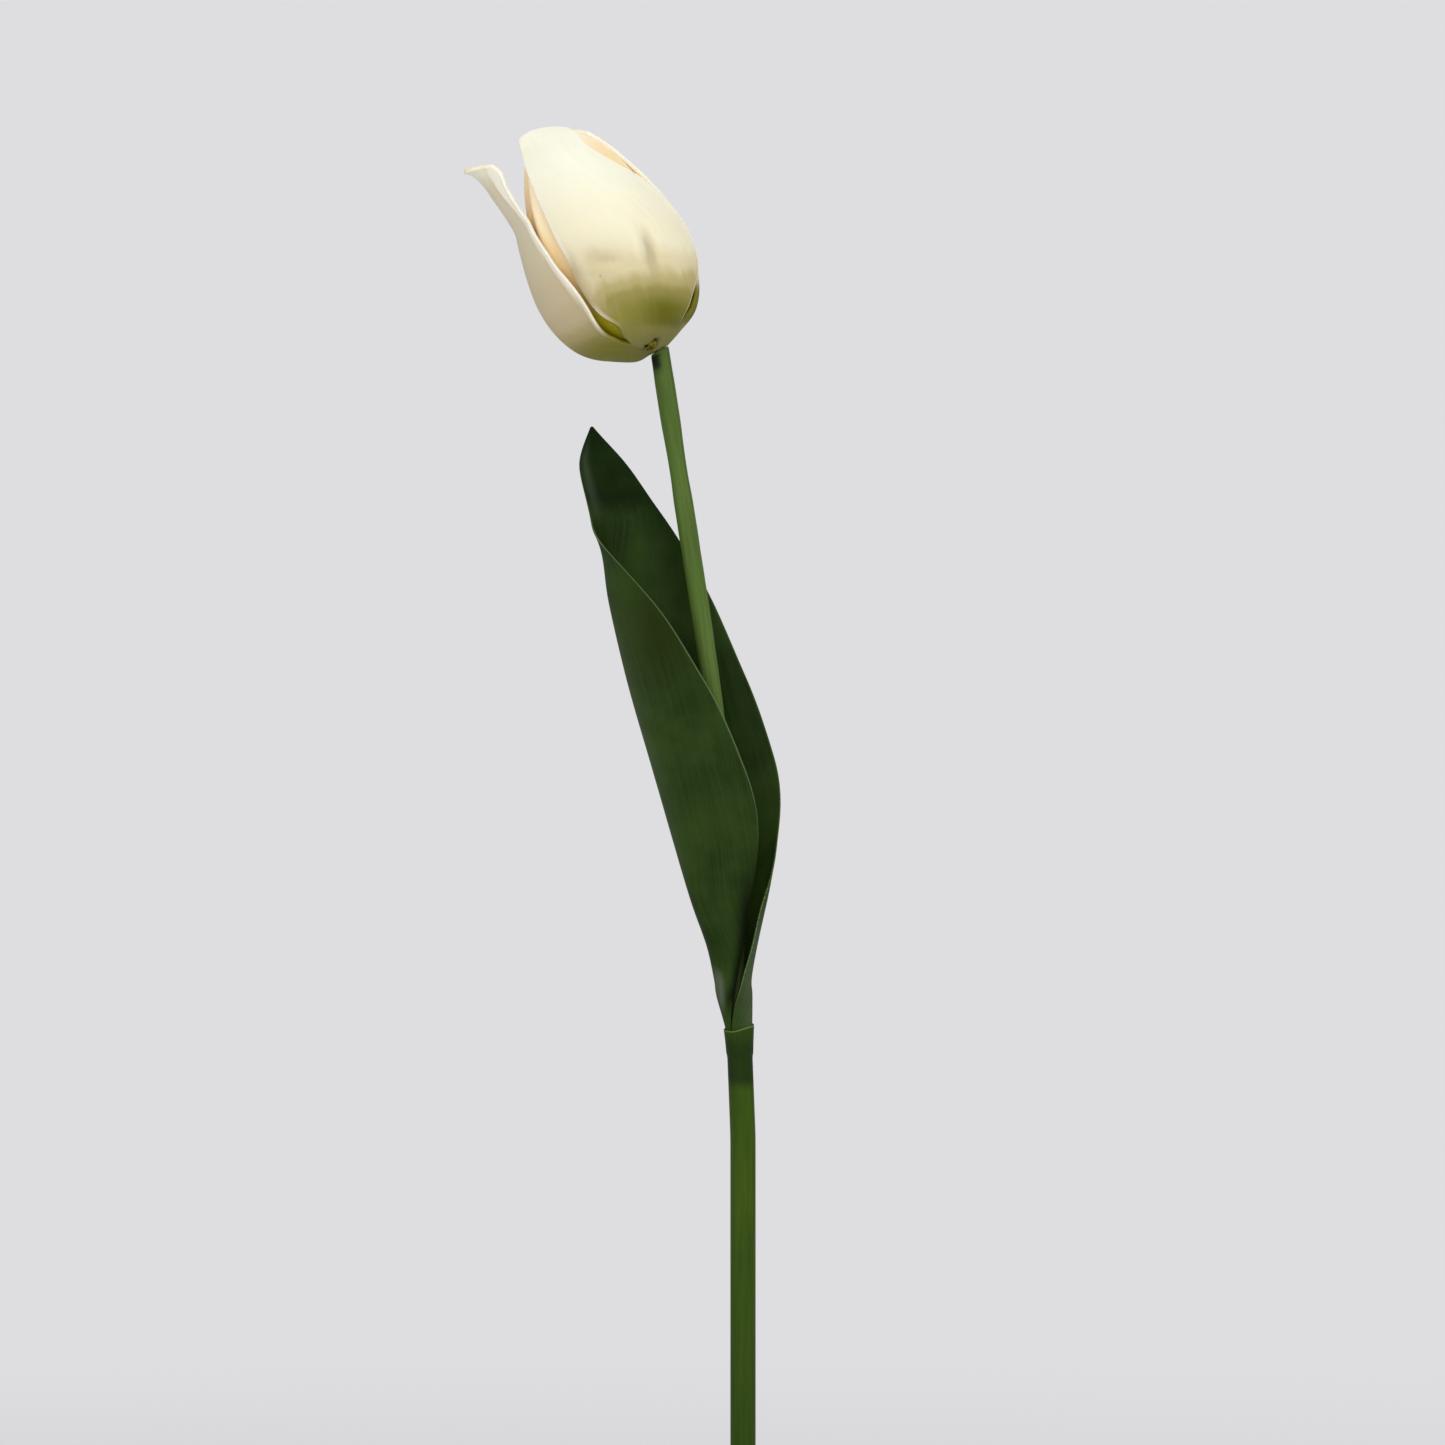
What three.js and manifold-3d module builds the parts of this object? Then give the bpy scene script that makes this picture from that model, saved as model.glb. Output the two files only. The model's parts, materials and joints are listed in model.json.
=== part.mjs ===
// An artificial tulip on a two-part stem, in millimetres, with +Z up the stem.
// The origin is the centre of the stem's cut end; the flower leans towards -X, its front is -Y.
import * as THREE from "three";
import { mergeVertices } from "three/addons/utils/BufferGeometryUtils.js";
import Module from "manifold-3d";

// Clearances
const FIT_GAP = 0.2; // round every push fit
const SEAT_GAP = 0.3; // between faces that sit on each other

// Lower stem
const LOWER_LENGTH = 200; // cut end to the middle of the socket's rim
const LOWER_OD = 6.6;
const LOWER_WIRE_OD = 2.6;
const FOOT_WALL = 4; // solid end below the wire
const SOCKET_DEPTH = 15;
const SOCKET_WALL = 0.35;
const SOCKET_LEAN = 2.2; // degrees
const RIM_FLARE = 3; // height over which the rim opens
const RIM_SLANT = 1.6; // how much higher the rim is on its right side

// Connector between the stems
const SPIGOT_LENGTH = 12;
const FLANGE_HEIGHT = 1;

// Upper stem
const UPPER_OD = 5;
const UPPER_WIRE_OD = 1.8;
const STRAIGHT_LENGTH = 11; // straight above the rim
const UPPER_HEIGHT = 177; // rim to the neck
const UPPER_REACH = 13.8; // sideways bend at the neck
const NECK_LEAN = 6.5; // degrees, from the socket's axis
const LOW_PULL = 60; // how far the stem keeps to the socket's axis
const NECK_PULL = 70; // how far it keeps to the neck's lean

// Leaf
const LEAF_WALL = 0.8;
const SHEATH_INSERT = 6; // part of the rolled base inside the socket
const SHEATH_END_WALL = 0.3;
const LEAF_DEPTH = 4.9; // greatest clear space behind and before the stem

// Head
const HEAD_TILT = 28.5; // degrees from upright
const PETAL_WALL = 1.4;
const PETAL_EDGE = 0.85; // share of the wall left at a petal's edge
const SLIT_SHARE = 0.2; // share of a petal's length where the slits end
const FOOT_RISE = 18; // degrees, the cone of the petals' foot
const HUB_SHANK_OD = 3.6;
const HUB_FLANGE_OD = 10.4;
const HUB_FLANGE_HEIGHT = 1;
const HUB_POST_OD = 3.8;
const HUB_POST_HEIGHT = 5;
const PEG_TOP_WALL = 0.9; // hub left above the bent wire
const PISTIL_HEIGHT = 17;
const PISTIL_WALL = 0.8;
const STIGMA_REACH = 4.2;
const STIGMA_HEIGHT = 2.4;
const STAMEN_COUNT = 6;
const FILAMENT_OD = 1.1;
const FILAMENT_HEIGHT = 12;
const STAMEN_LEAN = 8; // degrees
const ANTHER_OD = 2.2;
const ANTHER_LENGTH = 8.5;

const wasm = await Module();
wasm.setup();
const rad = THREE.MathUtils.degToRad;
const flower = new THREE.Group();

// Sizes that follow from the ones above
const lowerBore = LOWER_WIRE_OD / 2 + FIT_GAP;
const upperBore = UPPER_WIRE_OD / 2 + FIT_GAP;
const sheathInner = UPPER_OD / 2 + FIT_GAP;
const sheathOuter = sheathInner + LEAF_WALL;
const sheathEnd = sheathInner + SHEATH_END_WALL;
const hubShank = HUB_SHANK_OD / 2;
const petalHole = hubShank + FIT_GAP;
const footSlope = Math.tan(rad(FOOT_RISE));
const footWall = PETAL_WALL / Math.cos(rad(FOOT_RISE));
const footHole = petalHole + PETAL_WALL * Math.sin(rad(FOOT_RISE));
const innerBase = footWall + SEAT_GAP;
const flangeSeat = innerBase + footWall + SEAT_GAP;
const flangeBase = flangeSeat - (footHole - hubShank) * footSlope;
const flangeRim = flangeSeat + (HUB_FLANGE_OD / 2 - footHole) * footSlope;
const flangeTop = flangeRim + HUB_FLANGE_HEIGHT;
const postTop = flangeTop + HUB_POST_HEIGHT;
const pegTop = postTop - PEG_TOP_WALL;
const kneeTurn = rad(HEAD_TILT - SOCKET_LEAN - NECK_LEAN);

function finish(color, roughness, metalness = 0) {
  return new THREE.MeshStandardMaterial({ color, roughness, metalness });
}

const stemGreen = finish("#38501a", 0.5);
const upperGreen = finish("#57693a", 0.55);
const leafGreen = finish("#2c4316", 0.6);
const petalCream = finish("#f0ead0", 0.7);
const petalPeach = finish("#ecd9b0", 0.7);
const steel = finish("#8d9094", 0.35, 1);
const hubOlive = finish("#8a7c34", 0.6);
const pistilGreen = finish("#a9b565", 0.6);
const stigmaCream = finish("#e6dc9a", 0.7);
const antherDark = finish("#4a3a20", 0.8);

function place(parent, name, geometry, material) {
  const mesh = new THREE.Mesh(geometry, material);
  mesh.name = name;
  parent.add(mesh);
  return mesh;
}

// A turned piece from [radius, height] points
function turned(points, segments) {
  const outline = points.map(([radius, height]) => new THREE.Vector2(radius, height));
  const geometry = new THREE.LatheGeometry(outline, segments);
  geometry.rotateX(Math.PI / 2);
  return geometry;
}

function bare(geometry) {
  const plain = geometry.clone();
  plain.deleteAttribute("uv");
  plain.deleteAttribute("normal");
  return mergeVertices(plain, 1e-4);
}

function solidOf(geometry) {
  const plain = bare(geometry);
  const vertProperties = new Float32Array(plain.attributes.position.array);
  const triVerts = new Uint32Array(plain.index.array);
  return new wasm.Manifold(new wasm.Mesh({ numProp: 3, vertProperties, triVerts }));
}

function geometryOf(solid) {
  const mesh = solid.getMesh();
  const geometry = new THREE.BufferGeometry();
  geometry.setAttribute("position", new THREE.BufferAttribute(mesh.vertProperties, 3));
  geometry.setIndex(new THREE.BufferAttribute(mesh.triVerts, 1));
  geometry.computeVertexNormals();
  return geometry;
}

// The smooth value at share t of evenly counted rows
function along(rows, t) {
  const last = rows.length - 1;
  const spot = Math.min(Math.max(t, 0), 1) * last;
  const i = Math.min(Math.floor(spot), last - 1);
  const f = spot - i;
  const before = rows[Math.max(i - 1, 0)];
  const after = rows[Math.min(i + 2, last)];
  return rows[i].map((from, k) => {
    const to = rows[i + 1][k];
    const leave = (to - before[k]) / 2;
    const arrive = (after[k] - from) / 2;
    const rise = to - from;
    return from + f * (leave + f * (3 * rise - 2 * leave - arrive + f * (leave + arrive - 2 * rise)));
  });
}

function ease(from, to, value) {
  return THREE.MathUtils.smoothstep(value, from, to);
}

// A closed sheet: its outer face is the surface, its inner face a wall behind it.
// Strips share their side edges up to the joined row and are open above it.
function sheetSolid(surfaces, wall, rows, cols, joinedRow) {
  const corners = [];
  const quad = (a, b, c, d) => corners.push(a, b, c, a, c, d);
  const step = 1e-3;
  for (const surface of surfaces) {
    const pair = (t, s) => {
      const outer = surface(t, s);
      const across = surface(t, s + step).sub(surface(t, s - step));
      const up = surface(Math.max(t, step), s).sub(surface(Math.max(t - step, 0), s));
      const depth = across.cross(up).normalize().multiplyScalar(wall(t, s));
      return { outer, inner: outer.clone().sub(depth) };
    };
    const grid = [];
    for (let i = 0; i <= rows; i += 1) {
      const row = [];
      for (let j = 0; j <= cols; j += 1) {
        row.push(pair(i / rows, (2 * j) / cols - 1));
      }
      grid.push(row);
    }
    for (let i = 0; i < rows; i += 1) {
      for (let j = 0; j < cols; j += 1) {
        const [a, b, c, d] = [grid[i][j], grid[i][j + 1], grid[i + 1][j + 1], grid[i + 1][j]];
        quad(a.outer, b.outer, c.outer, d.outer);
        quad(d.inner, c.inner, b.inner, a.inner);
      }
    }
    for (let i = joinedRow; i < rows; i += 1) {
      const [a, b, c, d] = [grid[i][0], grid[i][cols], grid[i + 1][cols], grid[i + 1][0]];
      quad(a.inner, a.outer, d.outer, d.inner);
      quad(b.outer, b.inner, c.inner, c.outer);
    }
    for (let j = 0; j < cols; j += 1) {
      const [a, b, c, d] = [grid[0][j], grid[0][j + 1], grid[rows][j + 1], grid[rows][j]];
      quad(a.inner, b.inner, b.outer, a.outer);
      quad(d.outer, c.outer, c.inner, d.inner);
    }
  }
  const geometry = mergeVertices(new THREE.BufferGeometry().setFromPoints(corners), 1e-4);
  geometry.computeVertexNormals();
  return geometry;
}

// Lower stem: straight tube, socket leaning a little, rim cut on the slant
const floorHeight = LOWER_LENGTH - SOCKET_DEPTH;
const leanStart = floorHeight - SPIGOT_LENGTH - 1;
const stemRadius = LOWER_OD / 2;
const sheathFoot = LOWER_LENGTH - SHEATH_INSERT - SEAT_GAP;
const lowerTube = turned(
  [
    [0, 0],
    [stemRadius - 0.3, 0],
    [stemRadius, 0.3],
    [stemRadius, leanStart],
    [stemRadius, floorHeight],
    [sheathEnd + FIT_GAP + SOCKET_WALL, sheathFoot],
    [sheathOuter + SOCKET_WALL - 0.05, LOWER_LENGTH - RIM_FLARE],
    [sheathOuter + FIT_GAP + SOCKET_WALL, LOWER_LENGTH],
    [sheathOuter + FIT_GAP, LOWER_LENGTH],
    [sheathEnd + FIT_GAP, sheathFoot],
    [sheathInner, sheathFoot - SEAT_GAP],
    [sheathInner, floorHeight],
    [lowerBore, floorHeight],
    [lowerBore, leanStart],
    [lowerBore, FOOT_WALL],
    [0, FOOT_WALL],
  ],
  24,
);
const tubePoints = lowerTube.attributes.position;
for (let i = 0; i < tubePoints.count; i += 1) {
  const x = tubePoints.getX(i);
  const z = tubePoints.getZ(i);
  const flare = Math.max(0, z - (LOWER_LENGTH - RIM_FLARE)) / RIM_FLARE;
  const slant = (flare * RIM_SLANT * x) / (2 * sheathOuter);
  tubePoints.setX(i, x - Math.tan(rad(SOCKET_LEAN)) * Math.max(0, z - leanStart));
  tubePoints.setZ(i, z + slant);
}
place(flower, "lower_stem_tube", lowerTube, stemGreen);

const lowerWireTop = leanStart - SEAT_GAP;
const lowerWire = turned(
  [
    [0, FOOT_WALL + SEAT_GAP],
    [LOWER_WIRE_OD / 2, FOOT_WALL + SEAT_GAP],
    [LOWER_WIRE_OD / 2, lowerWireTop],
    [0, lowerWireTop],
  ],
  16,
);
place(flower, "lower_stem_wire", lowerWire, steel);

// Everything above the socket's floor, along the socket's axis
const upper = new THREE.Group();
upper.position.set(-Math.tan(rad(SOCKET_LEAN)) * (floorHeight - leanStart), 0, floorHeight);
upper.rotation.y = -rad(SOCKET_LEAN);
flower.add(upper);

const spigot = LOWER_WIRE_OD / 2;
const flangeFloor = SEAT_GAP;
const flangeCeiling = flangeFloor + FLANGE_HEIGHT;
const spigotTop = flangeCeiling + SPIGOT_LENGTH;
const connector = turned(
  [
    [0, -SPIGOT_LENGTH],
    [spigot - 0.3, -SPIGOT_LENGTH],
    [spigot, 0.4 - SPIGOT_LENGTH],
    [spigot, flangeFloor],
    [UPPER_OD / 2, flangeFloor],
    [UPPER_OD / 2, flangeCeiling],
    [spigot, flangeCeiling],
    [spigot, spigotTop - 0.4],
    [spigot - 0.3, spigotTop],
    [0, spigotTop],
  ],
  18,
);
place(upper, "stem_connector", connector, stemGreen);

// Upper stem: a coated wire that leaves the socket straight and bends over to the neck
const stemFoot = flangeCeiling + SEAT_GAP;
const bendStart = SOCKET_DEPTH + STRAIGHT_LENGTH;
const neck = new THREE.Vector3(-UPPER_REACH, 0, SOCKET_DEPTH + UPPER_HEIGHT);
const neckWay = new THREE.Vector3(-Math.sin(rad(NECK_LEAN)), 0, Math.cos(rad(NECK_LEAN)));
const bend = new THREE.CubicBezierCurve3(
  new THREE.Vector3(0, 0, bendStart),
  new THREE.Vector3(0, 0, bendStart + LOW_PULL),
  neck.clone().addScaledVector(neckWay, -NECK_PULL),
  neck,
);

function stemPath(from, beyond) {
  const path = new THREE.CurvePath();
  path.add(new THREE.LineCurve3(new THREE.Vector3(0, 0, from), new THREE.Vector3(0, 0, bendStart)));
  path.add(bend);
  if (beyond > 0) {
    path.add(new THREE.LineCurve3(neck, neck.clone().addScaledVector(neckWay, beyond)));
  }
  return path;
}

function swept(shape, path, steps, curveSegments) {
  const options = { steps, curveSegments, bevelEnabled: false, extrudePath: path };
  return new THREE.ExtrudeGeometry(shape, options);
}

function disc(radius) {
  return new THREE.Shape().absarc(0, 0, radius, 0, 2 * Math.PI);
}

const coat = disc(UPPER_OD / 2);
coat.holes.push(new THREE.Path().absarc(0, 0, upperBore, 0, 2 * Math.PI));
const spigotHole = turned(
  [
    [0, 0],
    [lowerBore, 0],
    [lowerBore, spigotTop + SEAT_GAP],
    [0, spigotTop + SEAT_GAP],
  ],
  18,
);
const headWay = new THREE.Group();
headWay.position.copy(neck);
headWay.rotation.y = -rad(HEAD_TILT - SOCKET_LEAN);
headWay.updateMatrix();

// The stem's top is cut on the slant, level with the head
const topCut = turned(
  [
    [0, 0],
    [UPPER_OD, 0],
    [UPPER_OD, UPPER_OD],
    [0, UPPER_OD],
  ],
  12,
);
topCut.applyMatrix4(headWay.matrix);
const overrun = UPPER_OD * Math.tan(kneeTurn);
const upperTube = solidOf(swept(coat, stemPath(stemFoot, overrun), 20, 8))
  .subtract(solidOf(spigotHole))
  .subtract(solidOf(topCut));
place(upper, "upper_stem_tube", geometryOf(upperTube), upperGreen);

const pegLength = pegTop;
const peg = new THREE.CylinderGeometry(UPPER_WIRE_OD / 2, UPPER_WIRE_OD / 2, pegLength, 12);
peg.rotateX(Math.PI / 2).translate(0, 0, pegLength / 2).applyMatrix4(headWay.matrix);
const knee = new THREE.SphereGeometry(UPPER_WIRE_OD / 2, 12, 8);
knee.translate(neck.x, neck.y, neck.z);
const wireFoot = spigotTop + 2 * SEAT_GAP;
const upperWire = solidOf(swept(disc(UPPER_WIRE_OD / 2), stemPath(wireFoot, 0), 20, 6))
  .add(solidOf(peg))
  .add(solidOf(knee));
place(upper, "upper_stem_wire", geometryOf(upperWire), steel);

// Leaf: one sheet rolled into a sheath at its base and folded round the stem above.
// Each row is height above the rim, sideways shift from the stem, half width, clear depth
// share, and the turn of the front and back edges from the right side round by the front.
const LEAF_ROWS = [
  [-SHEATH_INSERT, 0, sheathEnd, 0, 128, 481],
  [0, 0, sheathOuter, 0, 128, 481],
  [8.5, -0.8, sheathOuter + 1.2, 0.05, 93, 438],
  [13, -1.05, sheathOuter + 1.45, 0.14, 74, 417],
  [21.8, -0.85, 6.7, 0.4, 59, 396],
  [33.5, -0.9, 10.05, 0.7, 53, 386],
  [49, -0.25, 14.1, 0.86, 52, 343],
  [70, 2.45, 20.7, 0.97, 78, 305],
  [90.7, 3.25, 24.8, 1, 102, 285],
  [111.7, 1.4, 24.8, 0.98, 131, 275],
  [126.2, -1.95, 21.6, 0.94, 178, 270],
  [138, -6.4, 21.3, 0.9, 208, 266],
  [149, -10.4, 19.8, 0.86, 221, 260],
  [157.5, -11.6, 18.4, 0.82, 239, 241],
];
const bendPoints = bend.getPoints(120);

function stemShift(height) {
  const next = bendPoints.findIndex((point) => point.z > height);
  if (next < 1) {
    return next === 0 ? 0 : neck.x;
  }
  const [low, high] = [bendPoints[next - 1], bendPoints[next]];
  return low.x + ((high.x - low.x) * (height - low.z)) / (high.z - low.z);
}

function leafSurface(t, s) {
  const [height, shift, half, depth, front, back] = along(LEAF_ROWS, t);
  const turn = rad(back + ((front - back) * (s + 1)) / 2);
  const sheath = t * (LEAF_ROWS.length - 1) < 1 ? half : sheathOuter;
  const z = SOCKET_DEPTH + height;
  const x = stemShift(z) + shift + half * Math.cos(turn);
  return new THREE.Vector3(x, -(sheath + depth * LEAF_DEPTH) * Math.sin(turn), z);
}

function leafWall(t, s) {
  const inSocket = 1 - ease(0, 1, t * (LEAF_ROWS.length - 1));
  const body = LEAF_WALL + (SHEATH_END_WALL - LEAF_WALL) * inSocket;
  return body * (1 - 0.35 * s ** 8 * ease(0.15, 0.4, t));
}

place(upper, "leaf", sheetSolid([leafSurface], leafWall, 39, 16, 0), leafGreen);

// Head: two three-lobed petal pieces on one hub, along the tilted axis
const head = new THREE.Group();
head.rotation.copy(headWay.rotation);
head.position.set(0, 0, SEAT_GAP).applyMatrix4(headWay.matrix);
upper.add(head);

// Petal rows: radius and height of the middle line, half width, and how much flatter than
// round the petal is across; up to the slits the width is a third of the way round
const OUTER_ROWS = [
  [footHole, 0, 0, 0],
  [7, (7 - footHole) * footSlope, 0, 0],
  [13, 4.2, 13.6, 0],
  [17.3, 9.8, 16.8, 0],
  [20.4, 18, 20.9, 0],
  [21.4, 26, 21.6, 0],
  [20.4, 33, 19.8, 0],
  [17.6, 44, 14.4, 0.5],
  [13.8, 54.5, 10.2, 1.5],
  [9, 61.5, 8, 3],
  [5.4, 65.5, 6, 5],
];
const INNER_ROWS = [
  [footHole, innerBase, 0, 0],
  [6, innerBase + (6 - footHole) * footSlope, 0, 0],
  [11.2, 5.1, 11.7, 0],
  [15.2, 10.7, 14.3, 0],
  [18, 18.5, 16.6, 0],
  [18.8, 26, 17.4, 0],
  [17.8, 33, 16.2, 0],
  [15.2, 43.5, 12.7, 0],
  [11.7, 52.5, 9.4, 0.4],
  [7.2, 59.5, 6.2, 1],
  [4.4, 62.5, 4.4, 2],
];

// Lobes: turn round the axis from the front, swelling, belly low on the lobe, how far the foot
// sags below the cone, outward flare, turn of the upper part and the share where it starts, extra
// width of the tip, how round the tip is, how much shorter it is, how far its right corner drops,
// the share cut from the right side just above the slit, how far the left side reaches over the
// slit, and how far the right side is cut back and at which share
const PLAIN_LOBE = {
  swell: 0,
  belly: 0,
  sag: 0,
  flare: 0,
  lean: 0,
  leanFrom: 0.55,
  widen: 0,
  round: 0.1,
  drop: 0,
  skew: 0,
  notch: 0,
  cover: 0,
  trim: 0,
  trimAt: 0.74,
};
const FRONT_LOBE = {
  ...PLAIN_LOBE,
  turn: 32,
  lean: -30,
  round: 0.05,
  drop: 0.7,
  skew: 1.8,
  notch: 0.3,
  cover: 1.95,
  trim: 1.3,
};
const BACK_LOBE = { ...PLAIN_LOBE, turn: 152, swell: 0.3, flare: 2.4, lean: -14, drop: 3.6 };
const LEFT_LOBE = {
  ...PLAIN_LOBE,
  turn: 272,
  swell: 1,
  belly: 2.1,
  sag: 1.5,
  flare: 16.8,
  lean: 8,
  leanFrom: 0.68,
  widen: 3.4,
  round: 0.045,
  drop: 1.7,
  skew: 1.2,
  trim: 1.65,
  trimAt: 0.6,
};
const OUTER_LOBES = [FRONT_LOBE, BACK_LOBE, LEFT_LOBE];
const INNER_LOBES = [92, 212, 332].map((turn) => ({ ...PLAIN_LOBE, turn }));

function petalSurface(rows, lobe) {
  return (t, s) => {
    const open = t > SLIT_SHARE;
    const share = open ? t - lobe.round * s * s * ((t - SLIT_SHARE) / (1 - SLIT_SHARE)) ** 4 : t;
    const [base, height, width, flat] = along(rows, share);
    const swell = lobe.swell * ease(SLIT_SHARE, 0.5, share);
    const low = ease(0.08, 0.3, share) * (1 - ease(0.3, 0.55, share));
    const middle = Math.cos((s * Math.PI) / 2) ** 2;
    const belly = lobe.belly * low * middle;
    const sag = lobe.sag * ease(0, 0.1, share) * (1 - ease(0.1, SLIT_SHARE, share)) * middle;
    const flare = lobe.flare * (Math.max(0, share - 0.7) / 0.3) ** 1.2;
    const curve = base + (open ? Math.max(0, flat) + swell : 0);
    const cut = s > 0 ? lobe.notch * ease(SLIT_SHARE, 0.24, t) * (1 - ease(0.25, 0.38, t)) : 0;
    const wide = (width + lobe.widen * ease(0.7, 1, share)) * (1 - cut);
    const cover = lobe.cover * ease(0.28, 0.36, t) * (1 - ease(0.64, 0.82, t));
    const near = ease(lobe.trimAt - 0.14, lobe.trimAt, t);
    const far = ease(lobe.trimAt + 0.06, lobe.trimAt + 0.21, t);
    const trim = lobe.trim * near * (1 - far);
    const reach = Math.abs(s) * (s < 0 ? cover : -trim);
    const turn = s * (open ? Math.min(wide / curve, Math.PI / 3) + reach / curve : Math.PI / 3);
    const out = base + swell + belly + flare - curve * (1 - Math.cos(turn));
    const side = curve * Math.sin(turn);
    const facing = rad(lobe.turn + lobe.lean * ease(lobe.leanFrom, lobe.leanFrom + 0.3, share));
    const [sin, cos] = [Math.sin(facing), Math.cos(facing)];
    const z = height - sag - lobe.drop * ease(0.6, 1, share) - lobe.skew * s * ease(0.7, 1, share);
    return new THREE.Vector3(out * sin + side * cos, side * sin - out * cos, z);
  };
}

function petalWall(t, s) {
  const open = ease(SLIT_SHARE, 0.35, t);
  return PETAL_WALL * (1 - (1 - PETAL_EDGE) * open * Math.max(s ** 8, t ** 12));
}

function petals(rows, lobes, lengthSteps, widthSteps) {
  const surfaces = lobes.map((lobe) => petalSurface(rows, lobe));
  return sheetSolid(surfaces, petalWall, lengthSteps, widthSteps, lengthSteps * SLIT_SHARE);
}

place(head, "outer_petals", petals(OUTER_ROWS, OUTER_LOBES, 20, 10), petalCream);
place(head, "inner_petals", petals(INNER_ROWS, INNER_LOBES, 20, 6), petalPeach);

const hubPost = HUB_POST_OD / 2;
const hub = turned(
  [
    [upperBore, SEAT_GAP],
    [hubShank, SEAT_GAP],
    [hubShank, flangeBase],
    [HUB_FLANGE_OD / 2, flangeRim],
    [HUB_FLANGE_OD / 2, flangeTop],
    [hubPost, flangeTop],
    [hubPost, postTop],
    [0, postTop],
    [0, pegTop],
    [upperBore, pegTop],
    [upperBore, SEAT_GAP],
  ],
  20,
);
place(head, "petal_hub", hub, hubOlive);

// Pistil: a hollow column pushed over the hub's post, with a three-lobed stigma on top
const pistilBase = flangeTop + SEAT_GAP;
const pistilTop = pistilBase + PISTIL_HEIGHT;
const pistilBore = hubPost + FIT_GAP;
const pistilFoot = pistilBore + PISTIL_WALL;
const pistil = turned(
  [
    [pistilBore, pistilBase],
    [pistilFoot, pistilBase],
    [pistilFoot + 0.4, pistilBase + PISTIL_HEIGHT * 0.4],
    [pistilFoot - 0.5, pistilTop],
    [0, pistilTop],
    [0, postTop + SEAT_GAP],
    [pistilBore, postTop + SEAT_GAP],
    [pistilBore, pistilBase],
  ],
  18,
);
place(head, "pistil", pistil, pistilGreen);

const trefoil = new THREE.Shape();
const bevel = STIGMA_HEIGHT / 4;
for (let i = 0; i < 24; i += 1) {
  const angle = (i * Math.PI) / 12;
  const reach = (STIGMA_REACH - bevel) * (0.7 + 0.3 * Math.cos(3 * angle));
  const step = i === 0 ? "moveTo" : "lineTo";
  trefoil[step](reach * Math.cos(angle), reach * Math.sin(angle));
}
const stigma = new THREE.ExtrudeGeometry(trefoil, {
  depth: STIGMA_HEIGHT - 2 * bevel,
  bevelThickness: bevel,
  bevelSize: bevel,
  bevelSegments: 2,
});
stigma.translate(0, 0, pistilTop + SEAT_GAP + bevel);
place(head, "stigma", stigma, stigmaCream);

// Stamens: a ring of filaments round the pistil, each with its anther
const stamenRing = (pistilFoot + HUB_FLANGE_OD / 2) / 2 + 0.2;
for (let i = 0; i < STAMEN_COUNT; i += 1) {
  const stamen = new THREE.Group();
  const turn = (2 * Math.PI * i) / STAMEN_COUNT;
  stamen.rotation.set(0, rad(STAMEN_LEAN), turn, "ZYX");
  stamen.position.set(stamenRing * Math.cos(turn), stamenRing * Math.sin(turn), flangeTop + SEAT_GAP);
  head.add(stamen);
  const filament = new THREE.CylinderGeometry(FILAMENT_OD * 0.3, FILAMENT_OD / 2, FILAMENT_HEIGHT, 8);
  filament.rotateX(Math.PI / 2).translate(0, 0, FILAMENT_HEIGHT / 2);
  place(stamen, `filament_${i + 1}`, filament, stigmaCream);
  const foot = FILAMENT_HEIGHT + SEAT_GAP;
  const anther = turned(
    [
      [0, foot],
      [ANTHER_OD * 0.3, foot + 0.3],
      [ANTHER_OD / 2, foot + ANTHER_LENGTH * 0.25],
      [ANTHER_OD / 2, foot + ANTHER_LENGTH * 0.7],
      [ANTHER_OD * 0.3, foot + ANTHER_LENGTH - 0.5],
      [0, foot + ANTHER_LENGTH],
    ],
    10,
  );
  place(stamen, `anther_${i + 1}`, anther, antherDark);
}

export default flower;
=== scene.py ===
import functools
import json
import math

import bmesh
import bpy
import numpy as np
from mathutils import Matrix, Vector


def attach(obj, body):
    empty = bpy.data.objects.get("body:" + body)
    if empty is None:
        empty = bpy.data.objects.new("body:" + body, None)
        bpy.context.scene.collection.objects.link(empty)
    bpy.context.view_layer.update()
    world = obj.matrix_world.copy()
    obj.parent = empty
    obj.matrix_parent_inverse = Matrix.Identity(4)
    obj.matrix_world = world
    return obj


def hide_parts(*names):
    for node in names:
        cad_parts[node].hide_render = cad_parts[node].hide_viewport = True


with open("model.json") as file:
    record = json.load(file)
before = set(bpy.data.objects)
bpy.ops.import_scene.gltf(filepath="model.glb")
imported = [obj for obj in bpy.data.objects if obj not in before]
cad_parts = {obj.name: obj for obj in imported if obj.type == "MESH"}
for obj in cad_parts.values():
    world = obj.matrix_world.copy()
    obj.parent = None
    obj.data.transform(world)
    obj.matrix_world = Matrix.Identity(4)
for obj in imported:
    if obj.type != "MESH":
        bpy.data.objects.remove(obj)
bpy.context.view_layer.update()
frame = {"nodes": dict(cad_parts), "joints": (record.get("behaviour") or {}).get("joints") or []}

# Metres in a millimetre, and millimetres in a metre
MILLIMETRE = 0.001
METRE = 1000

# Sizes in millimetres, angles in radians and shares, from the part's source
FIT_GAP = 0.2
SEAT_GAP = 0.3

LOWER_LENGTH = 200
LOWER_RADIUS = 3.3
LOWER_BORE = 1.5
FOOT_WALL = 4
SOCKET_DEPTH = 15
SOCKET_WALL = 0.35
SOCKET_LEAN = math.radians(2.2)
LEAN_RUN = 13  # how far below the socket's floor its lean starts
RIM_FLARE = 3  # height over which the rim opens

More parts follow.
